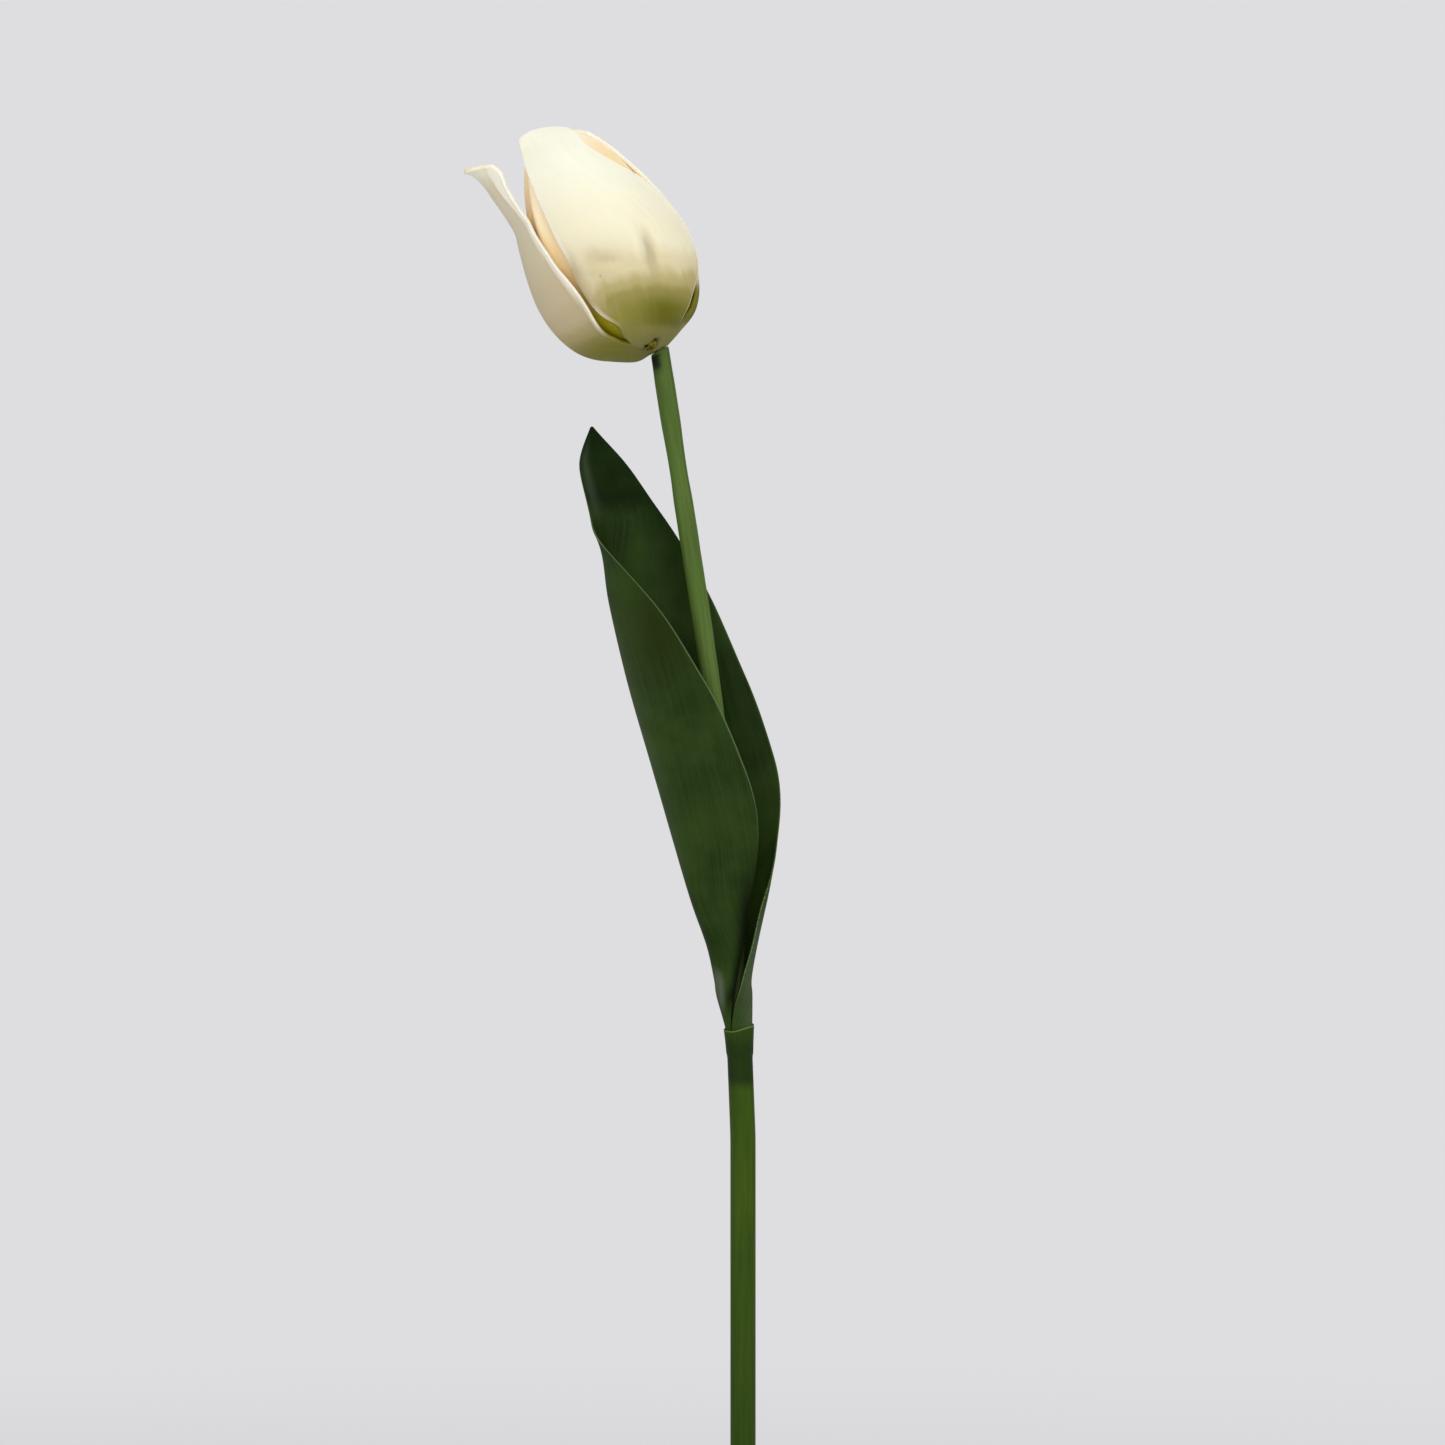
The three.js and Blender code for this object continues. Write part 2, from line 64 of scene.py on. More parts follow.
UPPER_RADIUS = 2.5
UPPER_BORE = 1.1
BEND_START = 26
NECK = np.array([-13.8, 192.0])
NECK_LEAN = math.radians(6.5)
LOW_PULL = 60  # how far the stem keeps to the socket's axis
NECK_PULL = 70  # how far it keeps to the neck's lean

LEAF_WALL = 0.8
LEAF_DEPTH = 4.9
SHEATH_INSERT = 6  # part of the rolled base inside the socket
SHEATH_END_WALL = 0.3

HEAD_TILT = math.radians(28.5)
PETAL_WALL = 1.4
PETAL_EDGE = 0.85  # share of the wall left at a petal's edge
SLIT = 0.2  # share of a petal's length where the slits end
FOOT_RISE = math.radians(18)  # the cone of the petals' foot
HUB_SHANK = 1.8
HUB_FLANGE = 5.2
HUB_FLANGE_HEIGHT = 1
HUB_POST = 1.9
HUB_POST_HEIGHT = 5
PEG_TOP_WALL = 0.9
PISTIL_RADIUS = 2.9
PISTIL_HEIGHT = 17
STIGMA_REACH = 4.1  # a little inside the solid's
STAMEN_COUNT = 6
STAMEN_LEAN = math.radians(8)
FILAMENT_RADIUS = 0.55
FILAMENT_HEIGHT = 12
ANTHER_RADIUS = 1.08  # a little inside the solid's
ANTHER_LENGTH = 8.5

# Sizes that follow from the ones above
SHEATH_INNER = UPPER_RADIUS + FIT_GAP
SHEATH_OUTER = SHEATH_INNER + LEAF_WALL
SHEATH_END = SHEATH_INNER + SHEATH_END_WALL
SHEATH_FOOT = LOWER_LENGTH - SHEATH_INSERT - SEAT_GAP
SOCKET_FLOOR = LOWER_LENGTH - SOCKET_DEPTH
LEAN_START = SOCKET_FLOOR - LEAN_RUN
RIM_RADIUS = SHEATH_OUTER + FIT_GAP + SOCKET_WALL
KNEE = HEAD_TILT - SOCKET_LEAN - NECK_LEAN
PETAL_HOLE = HUB_SHANK + FIT_GAP
FOOT_SLOPE = math.tan(FOOT_RISE)
FOOT_WALL_HEIGHT = PETAL_WALL / math.cos(FOOT_RISE)
FOOT_HOLE = PETAL_HOLE + PETAL_WALL * math.sin(FOOT_RISE)
INNER_BASE = FOOT_WALL_HEIGHT + SEAT_GAP
FLANGE_SEAT = INNER_BASE + FOOT_WALL_HEIGHT + SEAT_GAP
FLANGE_BASE = FLANGE_SEAT - (FOOT_HOLE - HUB_SHANK) * FOOT_SLOPE
FLANGE_RIM = FLANGE_SEAT + (HUB_FLANGE - FOOT_HOLE) * FOOT_SLOPE
FLANGE_TOP = FLANGE_RIM + HUB_FLANGE_HEIGHT
POST_TOP = FLANGE_TOP + HUB_POST_HEIGHT
PEG_TOP = POST_TOP - PEG_TOP_WALL
CORE_SEAT = FLANGE_TOP + SEAT_GAP


# Shapes

def ease(low, high, value):
    """0 up to low, 1 from high on, and a smooth rise between them."""
    share = np.clip((value - low) / (high - low), 0, 1)
    return share * share * (3 - 2 * share)


def window(start, full, fade, gone, value):
    """A smooth rise from start to full, and a smooth fall from fade to gone."""
    return ease(start, full, value) * (1 - ease(fade, gone, value))


def bell(value, middle, spread):
    """1 at the middle, with a smooth fall to both sides."""
    return np.exp(-(((value - middle) / spread) ** 2))


def along(rows, t):
    """The smooth value at share t of evenly counted rows, one array for each column."""
    rows = np.asarray(rows, float)
    last = len(rows) - 1
    spot = np.clip(t, 0, 1) * last
    i = np.minimum(spot.astype(int), last - 1)
    f = (spot - i)[..., None]
    low, high = rows[i], rows[i + 1]
    rise = high - low
    leave = (high - rows[np.maximum(i - 1, 0)]) / 2
    arrive = (rows[np.minimum(i + 2, last)] - low) / 2
    value = low + f * (leave + f * (3 * rise - 2 * leave - arrive + f * (leave + arrive - 2 * rise)))
    return np.moveaxis(value, -1, 0)


def spaced(count, gather):
    """Evenly spaced from -1 to 1, gathered towards both ends."""
    u = np.linspace(-1, 1, count)
    return (1 - gather) * u + gather * u * (1.5 - 0.5 * u * u)


def full_turn(around):
    """Even angles round a full turn."""
    return np.linspace(0, 2 * math.pi, around, endpoint=False)


def placed(joint_name):
    """Turns points along a joint's axis into points of the frame, in millimetres."""
    joint = next(j for j in frame["joints"] if j["name"] == joint_name)
    origin = np.array(joint["pos_m"]) * METRE
    axis = np.array(joint["axis"])
    axes = np.array([[axis[2], 0, -axis[0]], [0, 1, 0], axis])
    return lambda points: origin + np.asarray(points, float) @ axes


in_upper = placed("stem_turn")
in_head = placed("petals_turn")


def add_object(name, data):
    """A new object in the scene."""
    made = bpy.data.objects.new(name, data)
    bpy.context.scene.collection.objects.link(made)
    return made


def piece(name, points, faces, material, body, stands_for, values=None, smooth=1):
    """One mesh piece from points in millimetres, with named values kept at its points."""
    mesh = bpy.data.meshes.new(name)
    mesh.from_pydata((np.asarray(points) * MILLIMETRE).tolist(), [], faces)
    for key, value in (values or {}).items():
        mesh.attributes.new(key, "FLOAT", "POINT").data.foreach_set("value", np.ravel(value).astype("f"))
    work = bmesh.new()
    work.from_mesh(mesh)
    bmesh.ops.remove_doubles(work, verts=work.verts, dist=2e-7)
    bmesh.ops.recalc_face_normals(work, faces=work.faces)
    work.to_mesh(mesh)
    work.free()
    mesh.shade_smooth()
    mesh.materials.append(material)
    made = add_object(name, mesh)
    if smooth:
        rounding = made.modifiers.new("rounding", "SUBSURF")
        rounding.levels = rounding.render_levels = smooth
    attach(made, body)
    if stands_for:
        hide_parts(*stands_for)


def grid_faces(rows, cols, start=0, wrap=False):
    """Quads of a grid of points counted row by row."""
    i, j = np.meshgrid(np.arange(rows - 1), np.arange(cols if wrap else cols - 1), indexing="ij")
    right = (j + 1) % cols
    quads = np.stack([i * cols + j, i * cols + right, (i + 1) * cols + right, (i + 1) * cols + j], -1)
    return (quads.reshape(-1, 4) + start).tolist()


def loft(loops, closed=False):
    """Points and quads through a stack of loops of the same count."""
    loops = np.asarray(loops, float)
    count, around = loops.shape[:2]
    faces = grid_faces(count, around, wrap=True)
    if closed:
        low = np.arange(around)
        up = (count - 1) * around + low
        faces += np.stack([up, np.roll(up, -1), np.roll(low, -1), low], -1).tolist()
    return loops.reshape(-1, 3), faces


def turned(profile, around=36):
    """Loops of a turned piece from its [radius, height] points."""
    turn = full_turn(around)
    return np.array([np.stack([r * np.cos(turn), r * np.sin(turn), 0 * turn + z], -1) for r, z in profile])


def outward(surface, t, s, step=1e-3):
    """The direction out of a surface at each of its points."""
    across = surface(t, s + step) - surface(t, s - step)
    up = surface(np.maximum(t, step), s) - surface(np.maximum(t - step, 0), s)
    out = np.cross(across, up)
    return out / np.linalg.norm(out, axis=-1, keepdims=True)


def sheet(surfaces, wall, relief, length, width, joined):
    """A closed sheet of strips that share their left and right edges up to the joined rows.

    A strip's points lie at shares t along it, from 0 to 1, and s across it, from -1 to 1.
    """
    rows, cols = len(length), len(width)
    t, s = np.meshgrid(length, width, indexing="ij")
    points, faces, kept = [], [], []
    for number, surface in enumerate(surfaces):
        start = number * 2 * rows * cols
        out = outward(surface, t, s)
        bumps = relief(number, t, s)
        outer = surface(t, s) + out * bumps[..., None]
        inner = outer - out * wall(t, s)[..., None]
        points += [outer.reshape(-1, 3), inner.reshape(-1, 3)]
        faces += grid_faces(rows, cols, start) + grid_faces(rows, cols, start + rows * cols)
        flat = np.arange(rows * cols).reshape(rows, cols) + start
        left, right = joined[number]
        for side in (flat[left:, 0], flat[right:, -1], flat[0], flat[-1]):
            deep = side + rows * cols
            faces += np.stack([side[:-1], side[1:], deep[1:], deep[:-1]], -1).tolist()
        reach = np.linalg.norm(np.diff(outer, axis=1), axis=-1).cumsum(1)
        reach = np.concatenate([np.zeros((rows, 1)), reach], 1)
        reach -= reach[:, cols // 2 : cols // 2 + 1]
        # How deep the relief sinks, used for painted shade in the dents and creases
        shared = dict(along=t, side=s, edge=np.abs(s), dent_shade=np.maximum(0, -bumps), across=reach)
        for inside in (0, 1):
            kept.append(dict(shared, inside=np.full(t.shape, inside), strip=np.full(t.shape, number)))
    values = {key: np.concatenate([np.ravel(part[key]) for part in kept]) for key in kept[0]}
    return np.concatenate(points), faces, values


# Materials

def tone(red, green, blue):
    """A colour written as 0 to 255, as the shader takes it."""
    def linear(value):
        value /= 255
        return value / 12.92 if value <= 0.04045 else ((value + 0.055) / 1.055) ** 2.4
    return (linear(red), linear(green), linear(blue), 1)


class Look:
    """A node material, put together one node at a time."""

    def __init__(self, name, **settings):
        self.material = bpy.data.materials.new(name)
        self.material.use_nodes = True
        self.tree = self.material.node_tree
        self.shader = self.tree.nodes["Principled BSDF"]
        for key, value in settings.items():
            self.shader.inputs[key.replace("_", " ").title().replace("Ior", "IOR")].default_value = value

    def node(self, kind, output, inputs, **settings):
        made = self.tree.nodes.new(kind)
        for key, value in settings.items():
            setattr(made, key, value)
        for key, value in inputs.items():
            self.put(made.inputs[key], value)
        return made.outputs[output]

    def put(self, socket, value):
        if isinstance(value, bpy.types.NodeSocket):
            self.tree.links.new(value, socket)
        else:
            socket.default_value = value

    def value(self, name):
        return self.node("ShaderNodeAttribute", "Fac", {}, attribute_name=name)

    def place(self):
        return self.node("ShaderNodeTexCoord", "Object", {})

    def add(self, first, second):
        return self.node("ShaderNodeMath", 0, {0: first, 1: second}, operation="ADD")

    def times(self, first, second):
        return self.node("ShaderNodeMath", 0, {0: first, 1: second}, operation="MULTIPLY")

    def span(self, value, low, high, to_low=0.0, to_high=1.0):
        inputs = {0: value, 1: low, 2: high, 3: to_low, 4: to_high}
        return self.node("ShaderNodeMapRange", 0, inputs, interpolation_type="SMOOTHSTEP")

    def vector(self, x, y, z=0.0):
        return self.node("ShaderNodeCombineXYZ", 0, {0: x, 1: y, 2: z})

    def noise(self, where, scale, detail=3.0, rough=0.5):
        inputs = {"Vector": where, "Scale": scale, "Detail": detail, "Roughness": rough}
        return self.node("ShaderNodeTexNoise", 0, inputs)

    def cells(self, where, scale):
        return self.node("ShaderNodeTexVoronoi", "Distance", {"Vector": where, "Scale": scale})

    def mix(self, share, first, second):
        return self.node("ShaderNodeMix", 2, {0: share, 6: first, 7: second}, data_type="RGBA")

    def layer(self, under, colour, *shares):
        """A colour over another, as strong as its shares multiplied together."""
        return self.mix(functools.reduce(self.times, shares), under, colour)

    def ramp(self, value, stops):
        made = self.tree.nodes.new("ShaderNodeValToRGB")
        made.color_ramp.interpolation = "EASE"
        elements = made.color_ramp.elements
        while len(elements) < len(stops):
            elements.new(0.5)
        for element, (spot, colour) in zip(elements, stops):
            element.position = spot
            element.color = colour
        self.put(made.inputs[0], value)
        return made.outputs[0]

    def done(self, colour, roughness, height, depth, strength):
        bump = self.node("ShaderNodeBump", 0, {"Height": height, "Distance": depth, "Strength": strength})
        self.put(self.shader.inputs["Base Color"], colour)
        self.put(self.shader.inputs["Roughness"], roughness)
        self.put(self.shader.inputs["Normal"], bump)
        return self.material


CREAM_STOPS = [
    (0.04, tone(132, 128, 76)),
    (0.16, tone(134, 129, 66)),
    (0.22, tone(142, 136, 62)),
    (0.285, tone(156, 146, 82)),
    (0.33, tone(184, 170, 114)),
    (0.39, tone(222, 209, 168)),
    (0.46, tone(242, 232, 200)),
    (0.8, tone(248, 245, 222)),
]
# The inner lobes' peach is partly painted light: the warm glow of light through the thin foam
PEACH_STOPS = [
    (0.04, tone(120, 114, 0)),
    (0.25, tone(142, 136, 0)),
    (0.34, tone(172, 156, 20)),
    (0.4, tone(214, 188, 104)),
    (0.46, tone(244, 208, 148)),
    (0.6, tone(247, 220, 168)),
    (0.74, tone(255, 239, 206)),
]
CUP_STOPS = [
    (0.16, tone(92, 88, 8)),
    (0.28, tone(140, 128, 28)),
    (0.4, tone(246, 216, 156)),
    (0.7, tone(253, 230, 188)),
]


def petal_look(name, stops, rim, soft):
    """Matt foam: colours that change up the lobe, faint fibres, and the marks kept at its points."""
    look = Look(name, specular_ior_level=0.12, subsurface_scale=0.004)
    look.shader.inputs["Subsurface Radius"].default_value = (1, 0.75, 0.4)
    t, across, inside = look.value("along"), look.value("across"), look.value("inside")
    spot = look.place()
    strand = look.vector(look.times(across, 0.45), look.times(t, 4.0), look.value("strip"))
    fibre = look.noise(strand, 1.0, 4.0)
    broad = look.noise(spot, 70.0, 3.0)
    look.put(look.shader.inputs["Subsurface Weight"], look.span(t, 0.28, 0.5, 0.0, soft))
    uneven = look.add(look.times(look.add(fibre, -0.5), 0.03), look.times(look.add(broad, -0.5), 0.09))
    # The ramp follows the green paint up the lobe, and on the front lobe also painted shade
    body = look.ramp(look.add(look.value("tint"), uneven), stops)
    # Olive: green paint at the lobes' feet, deepened on two of them as painted shade
    body = look.layer(body, tone(94, 94, 0), look.value("olive"), look.span(fibre, 0.3, 0.6, 0.8, 1.0))
    # A faint tint along the rims, with painted shade on the left lobe's outer face and on the front lobe's
    # left border and crease
    body = look.layer(body, tone(178, 160, 124), look.value("blush"))
    body = look.layer(body, tone(206, 194, 146), look.span(fibre, 0.45, 0.75), 0.07)
    # Painted shade in the relief's dents and creases
    body = look.layer(body, tone(182, 168, 130), look.span(look.value("dent_shade"), 0.1, 0.95, 0.0, 0.65))
    body = look.layer(body, look.ramp(look.add(t, uneven), CUP_STOPS), inside, 0.85)
    # Painted highlight along the lobes' rims, in the rim colour
    body = look.layer(body, rim, look.value("lip"), 0.85)
    speck = look.span(look.cells(spot, 80.0), 0.025, 0.04, 1.0, 0.0)
    body = look.layer(body, tone(140, 126, 84), speck, 0.3)
    # Painted shade in the torn hollows at the neck
    body = look.layer(body, tone(26, 24, 2), look.value("pit"))
    grain = look.noise(spot, 1500.0, 3.0, 0.6)
    wrinkle = look.noise(look.vector(look.times(across, 0.8), look.times(t, 9.0), 3.0), 1.0, 3.0)
    height = look.add(look.times(grain, 0.2), look.add(look.times(wrinkle, 0.9), look.times(fibre, 0.6)))
    return look.done(body, look.span(grain, 0.3, 0.7, 0.5, 0.68), height, 0.0004, 0.3)


def leaf_look():
    """Matt leaf: clouds of two greens, veins and threads along it, marks with painted sheen and shade among
    them, and a pale painted highlight along the edges, broken into dots low down.
    """
    look = Look("leaf_green", specular_ior_level=0.04, sheen_weight=0.01, sheen_roughness=0.4)
    look.shader.inputs["Sheen Tint"].default_value = tone(196, 206, 184)
    t, edge, across, inside = (look.value(key) for key in ("along", "edge", "across", "inside"))
    spot = look.place()
    cloud = look.noise(spot, 42.0, 3.0, 0.55)
    vein = look.noise(look.vector(look.times(across, 1.4), look.times(t, 7.0), inside), 1.0, 4.0, 0.6)
    thread = look.noise(look.vector(look.times(across, 9.0), look.times(t, 1400.0)), 0.35, 2.0)
    body = look.mix(look.span(cloud, 0.32, 0.68), tone(26, 43, 9), tone(47, 67, 24))
    body = look.layer(body, tone(52, 72, 34), look.span(vein, 0.35, 0.7), 0.3)
    body = look.layer(body, tone(60, 78, 44), look.span(thread, 0.55, 0.75), 0.2)
    body = look.layer(body, tone(28, 36, 0), look.value("rust"), look.span(cloud, 0.25, 0.6, 0.5, 1.0))
    # Painted shade over the leaf's inside, deeper towards the back edge and over the top
    body = look.layer(body, tone(4, 21, 0), look.value("deep"), look.span(cloud, 0.35, 0.65, 1.0, 0.8))
    # Painted sheen on the leaf's shoulder, flap, left border and inner tip
    body = look.layer(body, tone(104, 112, 94), look.value("gloss"), look.span(vein, 0.3, 0.65, 0.7, 1.0))
    body = look.layer(body, tone(4, 10, 1), look.value("shade"))
    # A painted highlight along the leaf's edges, broken into dots low down
    upper = look.span(t, 0.4, 0.5)
    dots = look.span(look.noise(look.vector(look.times(t, 260.0), 0.0), 1.0, 1.0), 0.42, 0.55, 0.15, 1.0)
    edge_highlight_dots = look.mix(upper, dots, look.span(inside, 0.3, 1.0, 1.0, 0.6))
    wall_share = look.span(t, 0.4, 0.5, 0.5, 2.0)
    line = look.times(look.span(edge, 0.985, 1.0), look.span(inside, 0.05, wall_share, 1.0, 0.0))
    body = look.layer(body, tone(112, 130, 86), line, edge_highlight_dots, look.value("rim"))
    grain = look.noise(spot, 1400.0, 2.0)
    height = look.add(look.times(vein, 0.5), look.add(look.times(thread, 0.12), look.times(grain, 0.12)))
    return look.done(body, look.span(cloud, 0.3, 0.7, 0.42, 0.56), height, 0.0003, 0.3)


def stem_look(name, dark, light, shade, shadow_tone, gloss):
    """Satin coating with streaks along it and blotches, darker at its patches of painted shadow and at its
    low end.
    """
    look = Look(name, specular_ior_level=0.12)
    turn, height = look.value("turn"), look.value("along")
    streak_line = look.vector(look.times(turn, 9.0), look.times(height, 0.03), 1.0)
    blotch_line = look.vector(look.times(turn, 2.0), look.times(height, 0.05), 4.0)
    streak = look.noise(streak_line, 1.0, 4.0, 0.6)
    blotch = look.noise(blotch_line, 1.0, 3.0)
    body = look.mix(look.span(streak, 0.3, 0.7), dark, light)
    body = look.layer(body, shade, look.span(blotch, 0.4, 0.7), 0.5)
    # Painted shadow at the patches
    body = look.layer(body, shadow_tone, look.value("shadow_patch"))
    body = look.layer(body, tone(30, 54, 0), look.span(look.value("low"), 0.0, 1.0, 0.0, 0.5))
    body = look.layer(body, tone(92, 118, 54), look.value("lip"), 0.7)
    grain = look.noise(look.place(), 1800.0, 2.0)
    bumps = look.add(look.times(streak, 0.8), look.add(look.times(grain, 0.2), look.times(blotch, 0.3)))
    return look.done(body, look.span(streak, 0.3, 0.7, gloss, gloss + 0.16), bumps, 0.0002, 0.35)


def plain_look(name, first, second, scale, rough, depth=0.0001, **settings):
    """Clouds of two tones with a fine grain."""
    look = Look(name, **settings)
    spot = look.place()
    cloud = look.noise(spot, scale, 4.0, 0.6)
    grain = look.noise(spot, scale * 6, 3.0)
    body = look.mix(look.span(cloud, 0.32, 0.68), first, second)
    height = look.add(look.times(cloud, 0.7), look.times(grain, 0.3))
    return look.done(body, look.span(grain, 0.3, 0.7, rough - 0.08, rough + 0.1), height, depth, 0.5)


cream = petal_look("petal_cream", CREAM_STOPS, rim=tone(250, 242, 224), soft=0.35)
peach = petal_look("petal_peach", PEACH_STOPS, rim=tone(253, 240, 218), soft=0.05)
leaf_green = leaf_look()
lower_green = stem_look(
    "lower_stem_green",
    dark=tone(44, 68, 4),
    light=tone(62, 84, 10),
    shade=tone(54, 80, 2),
    shadow_tone=tone(20, 42, 0),
    gloss=0.4,
)
upper_green = stem_look(
    "upper_stem_green",
    dark=tone(66, 88, 34),
    light=tone(88, 110, 50),
    shade=tone(76, 102, 36),
    shadow_tone=tone(18, 24, 4),
    gloss=0.46,
)
steel = plain_look("wire_steel", tone(120, 122, 124), tone(160, 161, 160), 700.0, 0.36, metallic=1.0)
olive = plain_look("hub_olive", tone(112, 98, 38), tone(150, 134, 62), 300.0, 0.6)
pistil_green = plain_look("pistil_green", tone(150, 164, 84), tone(184, 192, 116), 260.0, 0.58)
stamen_cream = plain_look("stamen_cream", tone(222, 208, 146), tone(240, 230, 180), 400.0, 0.66)
anther_brown = plain_look("anther_brown", tone(62, 46, 24), tone(104, 78, 38), 900.0, 0.86, 0.0003)
crumb_brown = plain_look(
    "crumb_brown", tone(26, 20, 2), tone(132, 120, 40), 420.0, 0.8, 0.0003, specular_ior_level=0.1
)
plug_green = plain_look("plug_green", tone(44, 66, 18), tone(62, 88, 28), 300.0, 0.5)


# Petals

# Distance from the axis, height, half width and added radius of curve, at even shares of the length
OUTER_ROWS = [
    (FOOT_HOLE, -0.2, 0, 0),
    (7, (7 - FOOT_HOLE) * FOOT_SLOPE, 0, 0),
    (13, 4.2, 13.6, 0),
    (17.3, 9.8, 16.8, 0),
    (20.4, 18, 20.9, 0),
    (21.4, 26, 21.6, 0),
    (20.4, 33, 19.8, 0),
    (17.6, 44, 14.4, 0.5),
    (13.8, 54.5, 10.2, 1.5),
    (9, 61.5, 8, 3),
    (5.4, 65.5, 6, 5),
]
INNER_ROWS = [
    (FOOT_HOLE, INNER_BASE, 0, 0),
    (6, INNER_BASE + (6 - FOOT_HOLE) * FOOT_SLOPE, 0, 0),
    (11.2, 5.1, 11.7, 0),
    (15.2, 10.7, 14.3, 0),
    (18, 18.5, 16.6, 0),
    (18.8, 26, 17.4, 0),
    (17.8, 33, 16.2, 0),
    (15.2, 43.5, 12.7, 0),
    (11.7, 52.5, 9.4, 0.4),
    (7.2, 59.5, 6.2, 1),
    (4.4, 62.5, 4.4, 2),
]
PLAIN_LOBE = dict(
    swell=0,  # millimetres outwards above the slits
    belly=0,  # millimetres outwards low on its middle
    sag=0,  # millimetres down at its foot
    flare=0,  # millimetres outwards at its tip
    lean=0,  # degrees round the axis towards its tip
    lean_from=0.55,  # share of the length where the lean starts
    widen=0,  # millimetres of half width added at its tip
    round=0.1,  # share of the length that rounds off the corners of its tip
    drop=0,  # millimetres that its tip is lower
    skew=0,  # millimetres that its tip's right corner is lower and its left one higher
    cut=0,  # share of the seam's swing taken off the right edge at its foot
    wrap=0,  # share of the seam's swing added at the left edge at its foot
    lens=0,  # radians taken off the right edge above the slit's root
    cover=0,  # millimetres added at the left edge half way up
    trim=0,  # millimetres taken off the right edge
    trim_at=0.74,  # share of the length where that is most
)
FRONT_LOBE = dict(PLAIN_LOBE, turn=32, lean=-30, round=0.05, drop=0.7, skew=1.8, cover=1.95, trim=1.3, cut=1)
BACK_LOBE = dict(PLAIN_LOBE, turn=152, swell=0.3, flare=2.4, lean=-14, drop=3.6, wrap=1)
LEFT_LOBE = dict(PLAIN_LOBE, turn=272, swell=1, belly=2.1, sag=1.5, flare=16.8, lean=8, lean_from=0.68)
LEFT_LOBE.update(widen=3.4, round=0.045, drop=1.7, skew=1.2, lens=0.12, trim=1.65, trim_at=0.6)
OUTER_LOBES = [FRONT_LOBE, BACK_LOBE, LEFT_LOBE]
INNER_LOBES = [dict(PLAIN_LOBE, turn=turn) for turn in (92, 212, 332)]
SEAM_SWING = math.radians(44)
RIGHT_ROOT = 0.16
LEFT_ROOT = 0.186
OUTER_ROOTS = [(LEFT_ROOT, RIGHT_ROOT), (RIGHT_ROOT, SLIT), (SLIT, LEFT_ROOT)]
INNER_ROOTS = [(SLIT, SLIT)] * 3
FOOT_STEPS = 14
LOBE_STEPS = 65
TIP_GATHER = 1.25
LOBE_SHARES = 1 - (1 - np.linspace(0, 1, LOBE_STEPS + 1)[1:]) ** TIP_GATHER
PETAL_LENGTH = np.concatenate([np.linspace(0, SLIT, FOOT_STEPS + 1), SLIT + (1 - SLIT) * LOBE_SHARES])
PETAL_WIDTH = spaced(33, 0.45)


def petal_surface(rows, lobe):
    """The outer face of one lobe, as a function of the shares along and across it."""
    def point(t, s):
        is_open = t > SLIT
        share = np.where(is_open, t - lobe["round"] * s * s * ((t - SLIT) / (1 - SLIT)) ** 4, t)
        base, height, width, flat = along(rows, share)
        middle = np.cos(s * math.pi / 2) ** 2
        swell = lobe["swell"] * ease(SLIT, 0.5, share)
        belly = lobe["belly"] * window(0.08, 0.3, 0.3, 0.55, share) * middle
        sag = lobe["sag"] * window(0, 0.1, 0.1, SLIT, share) * middle
        flare = lobe["flare"] * (np.maximum(0, share - 0.7) / 0.3) ** 1.2
        curve = base + np.where(is_open, np.maximum(0, flat) + swell, 0)
        swing = SEAM_SWING * ease(0.04, 0.15, t)
        cut = lobe["cut"] * (s > 0) * swing * (1 - ease(0.17, 0.4, t))
        cut += lobe["lens"] * (s > 0) * window(LEFT_ROOT, LEFT_ROOT + 0.04, 0.24, 0.45, t)
        left_of_seam = 1 - 0.55 * ease(RIGHT_ROOT, 0.2, t) - 0.45 * ease(0.2, 0.33, t)
        wrap = lobe["wrap"] * (s < 0) * swing * left_of_seam
        cover = lobe["cover"] * window(0.28, 0.36, 0.64, 0.82, t)
        at = lobe["trim_at"]
        trim = lobe["trim"] * window(at - 0.14, at, at + 0.06, at + 0.21, t)
        reach = np.abs(s) * np.where(s < 0, cover, -trim)
        wide = width + lobe["widen"] * ease(0.7, 1, share)
        third = math.pi / 3
        half_turn = np.where(is_open, np.minimum(wide / curve, third) + reach / curve, third)
        turn = s * (half_turn + wrap - cut)
        out = base + swell + belly + flare - curve * (1 - np.cos(turn))
        side = curve * np.sin(turn)
        lean = lobe["lean"] * ease(lobe["lean_from"], lobe["lean_from"] + 0.3, share)
        facing = np.radians(lobe["turn"] + lean)
        z = height - sag - lobe["drop"] * ease(0.6, 1, share) - lobe["skew"] * s * ease(0.7, 1, share)
        sin, cos = np.sin(facing), np.cos(facing)
        return np.stack([out * sin + side * cos, side * sin - out * cos, z], -1)
    return point


def petal_wall(t, s):
    """Millimetres of foam, thinner along the free edges."""
    return PETAL_WALL * (1 - (1 - PETAL_EDGE) * ease(SLIT, 0.35, t) * np.maximum(s**8, t**12))


def neck_pit(t, s):
    """The torn hollows in the front lobe's foot, left of the stem."""
    return bell(t, 0.1, 0.02) * bell(s, -0.87, 0.055) + bell(t, 0.116, 0.016) * bell(s, -0.52, 0.07)


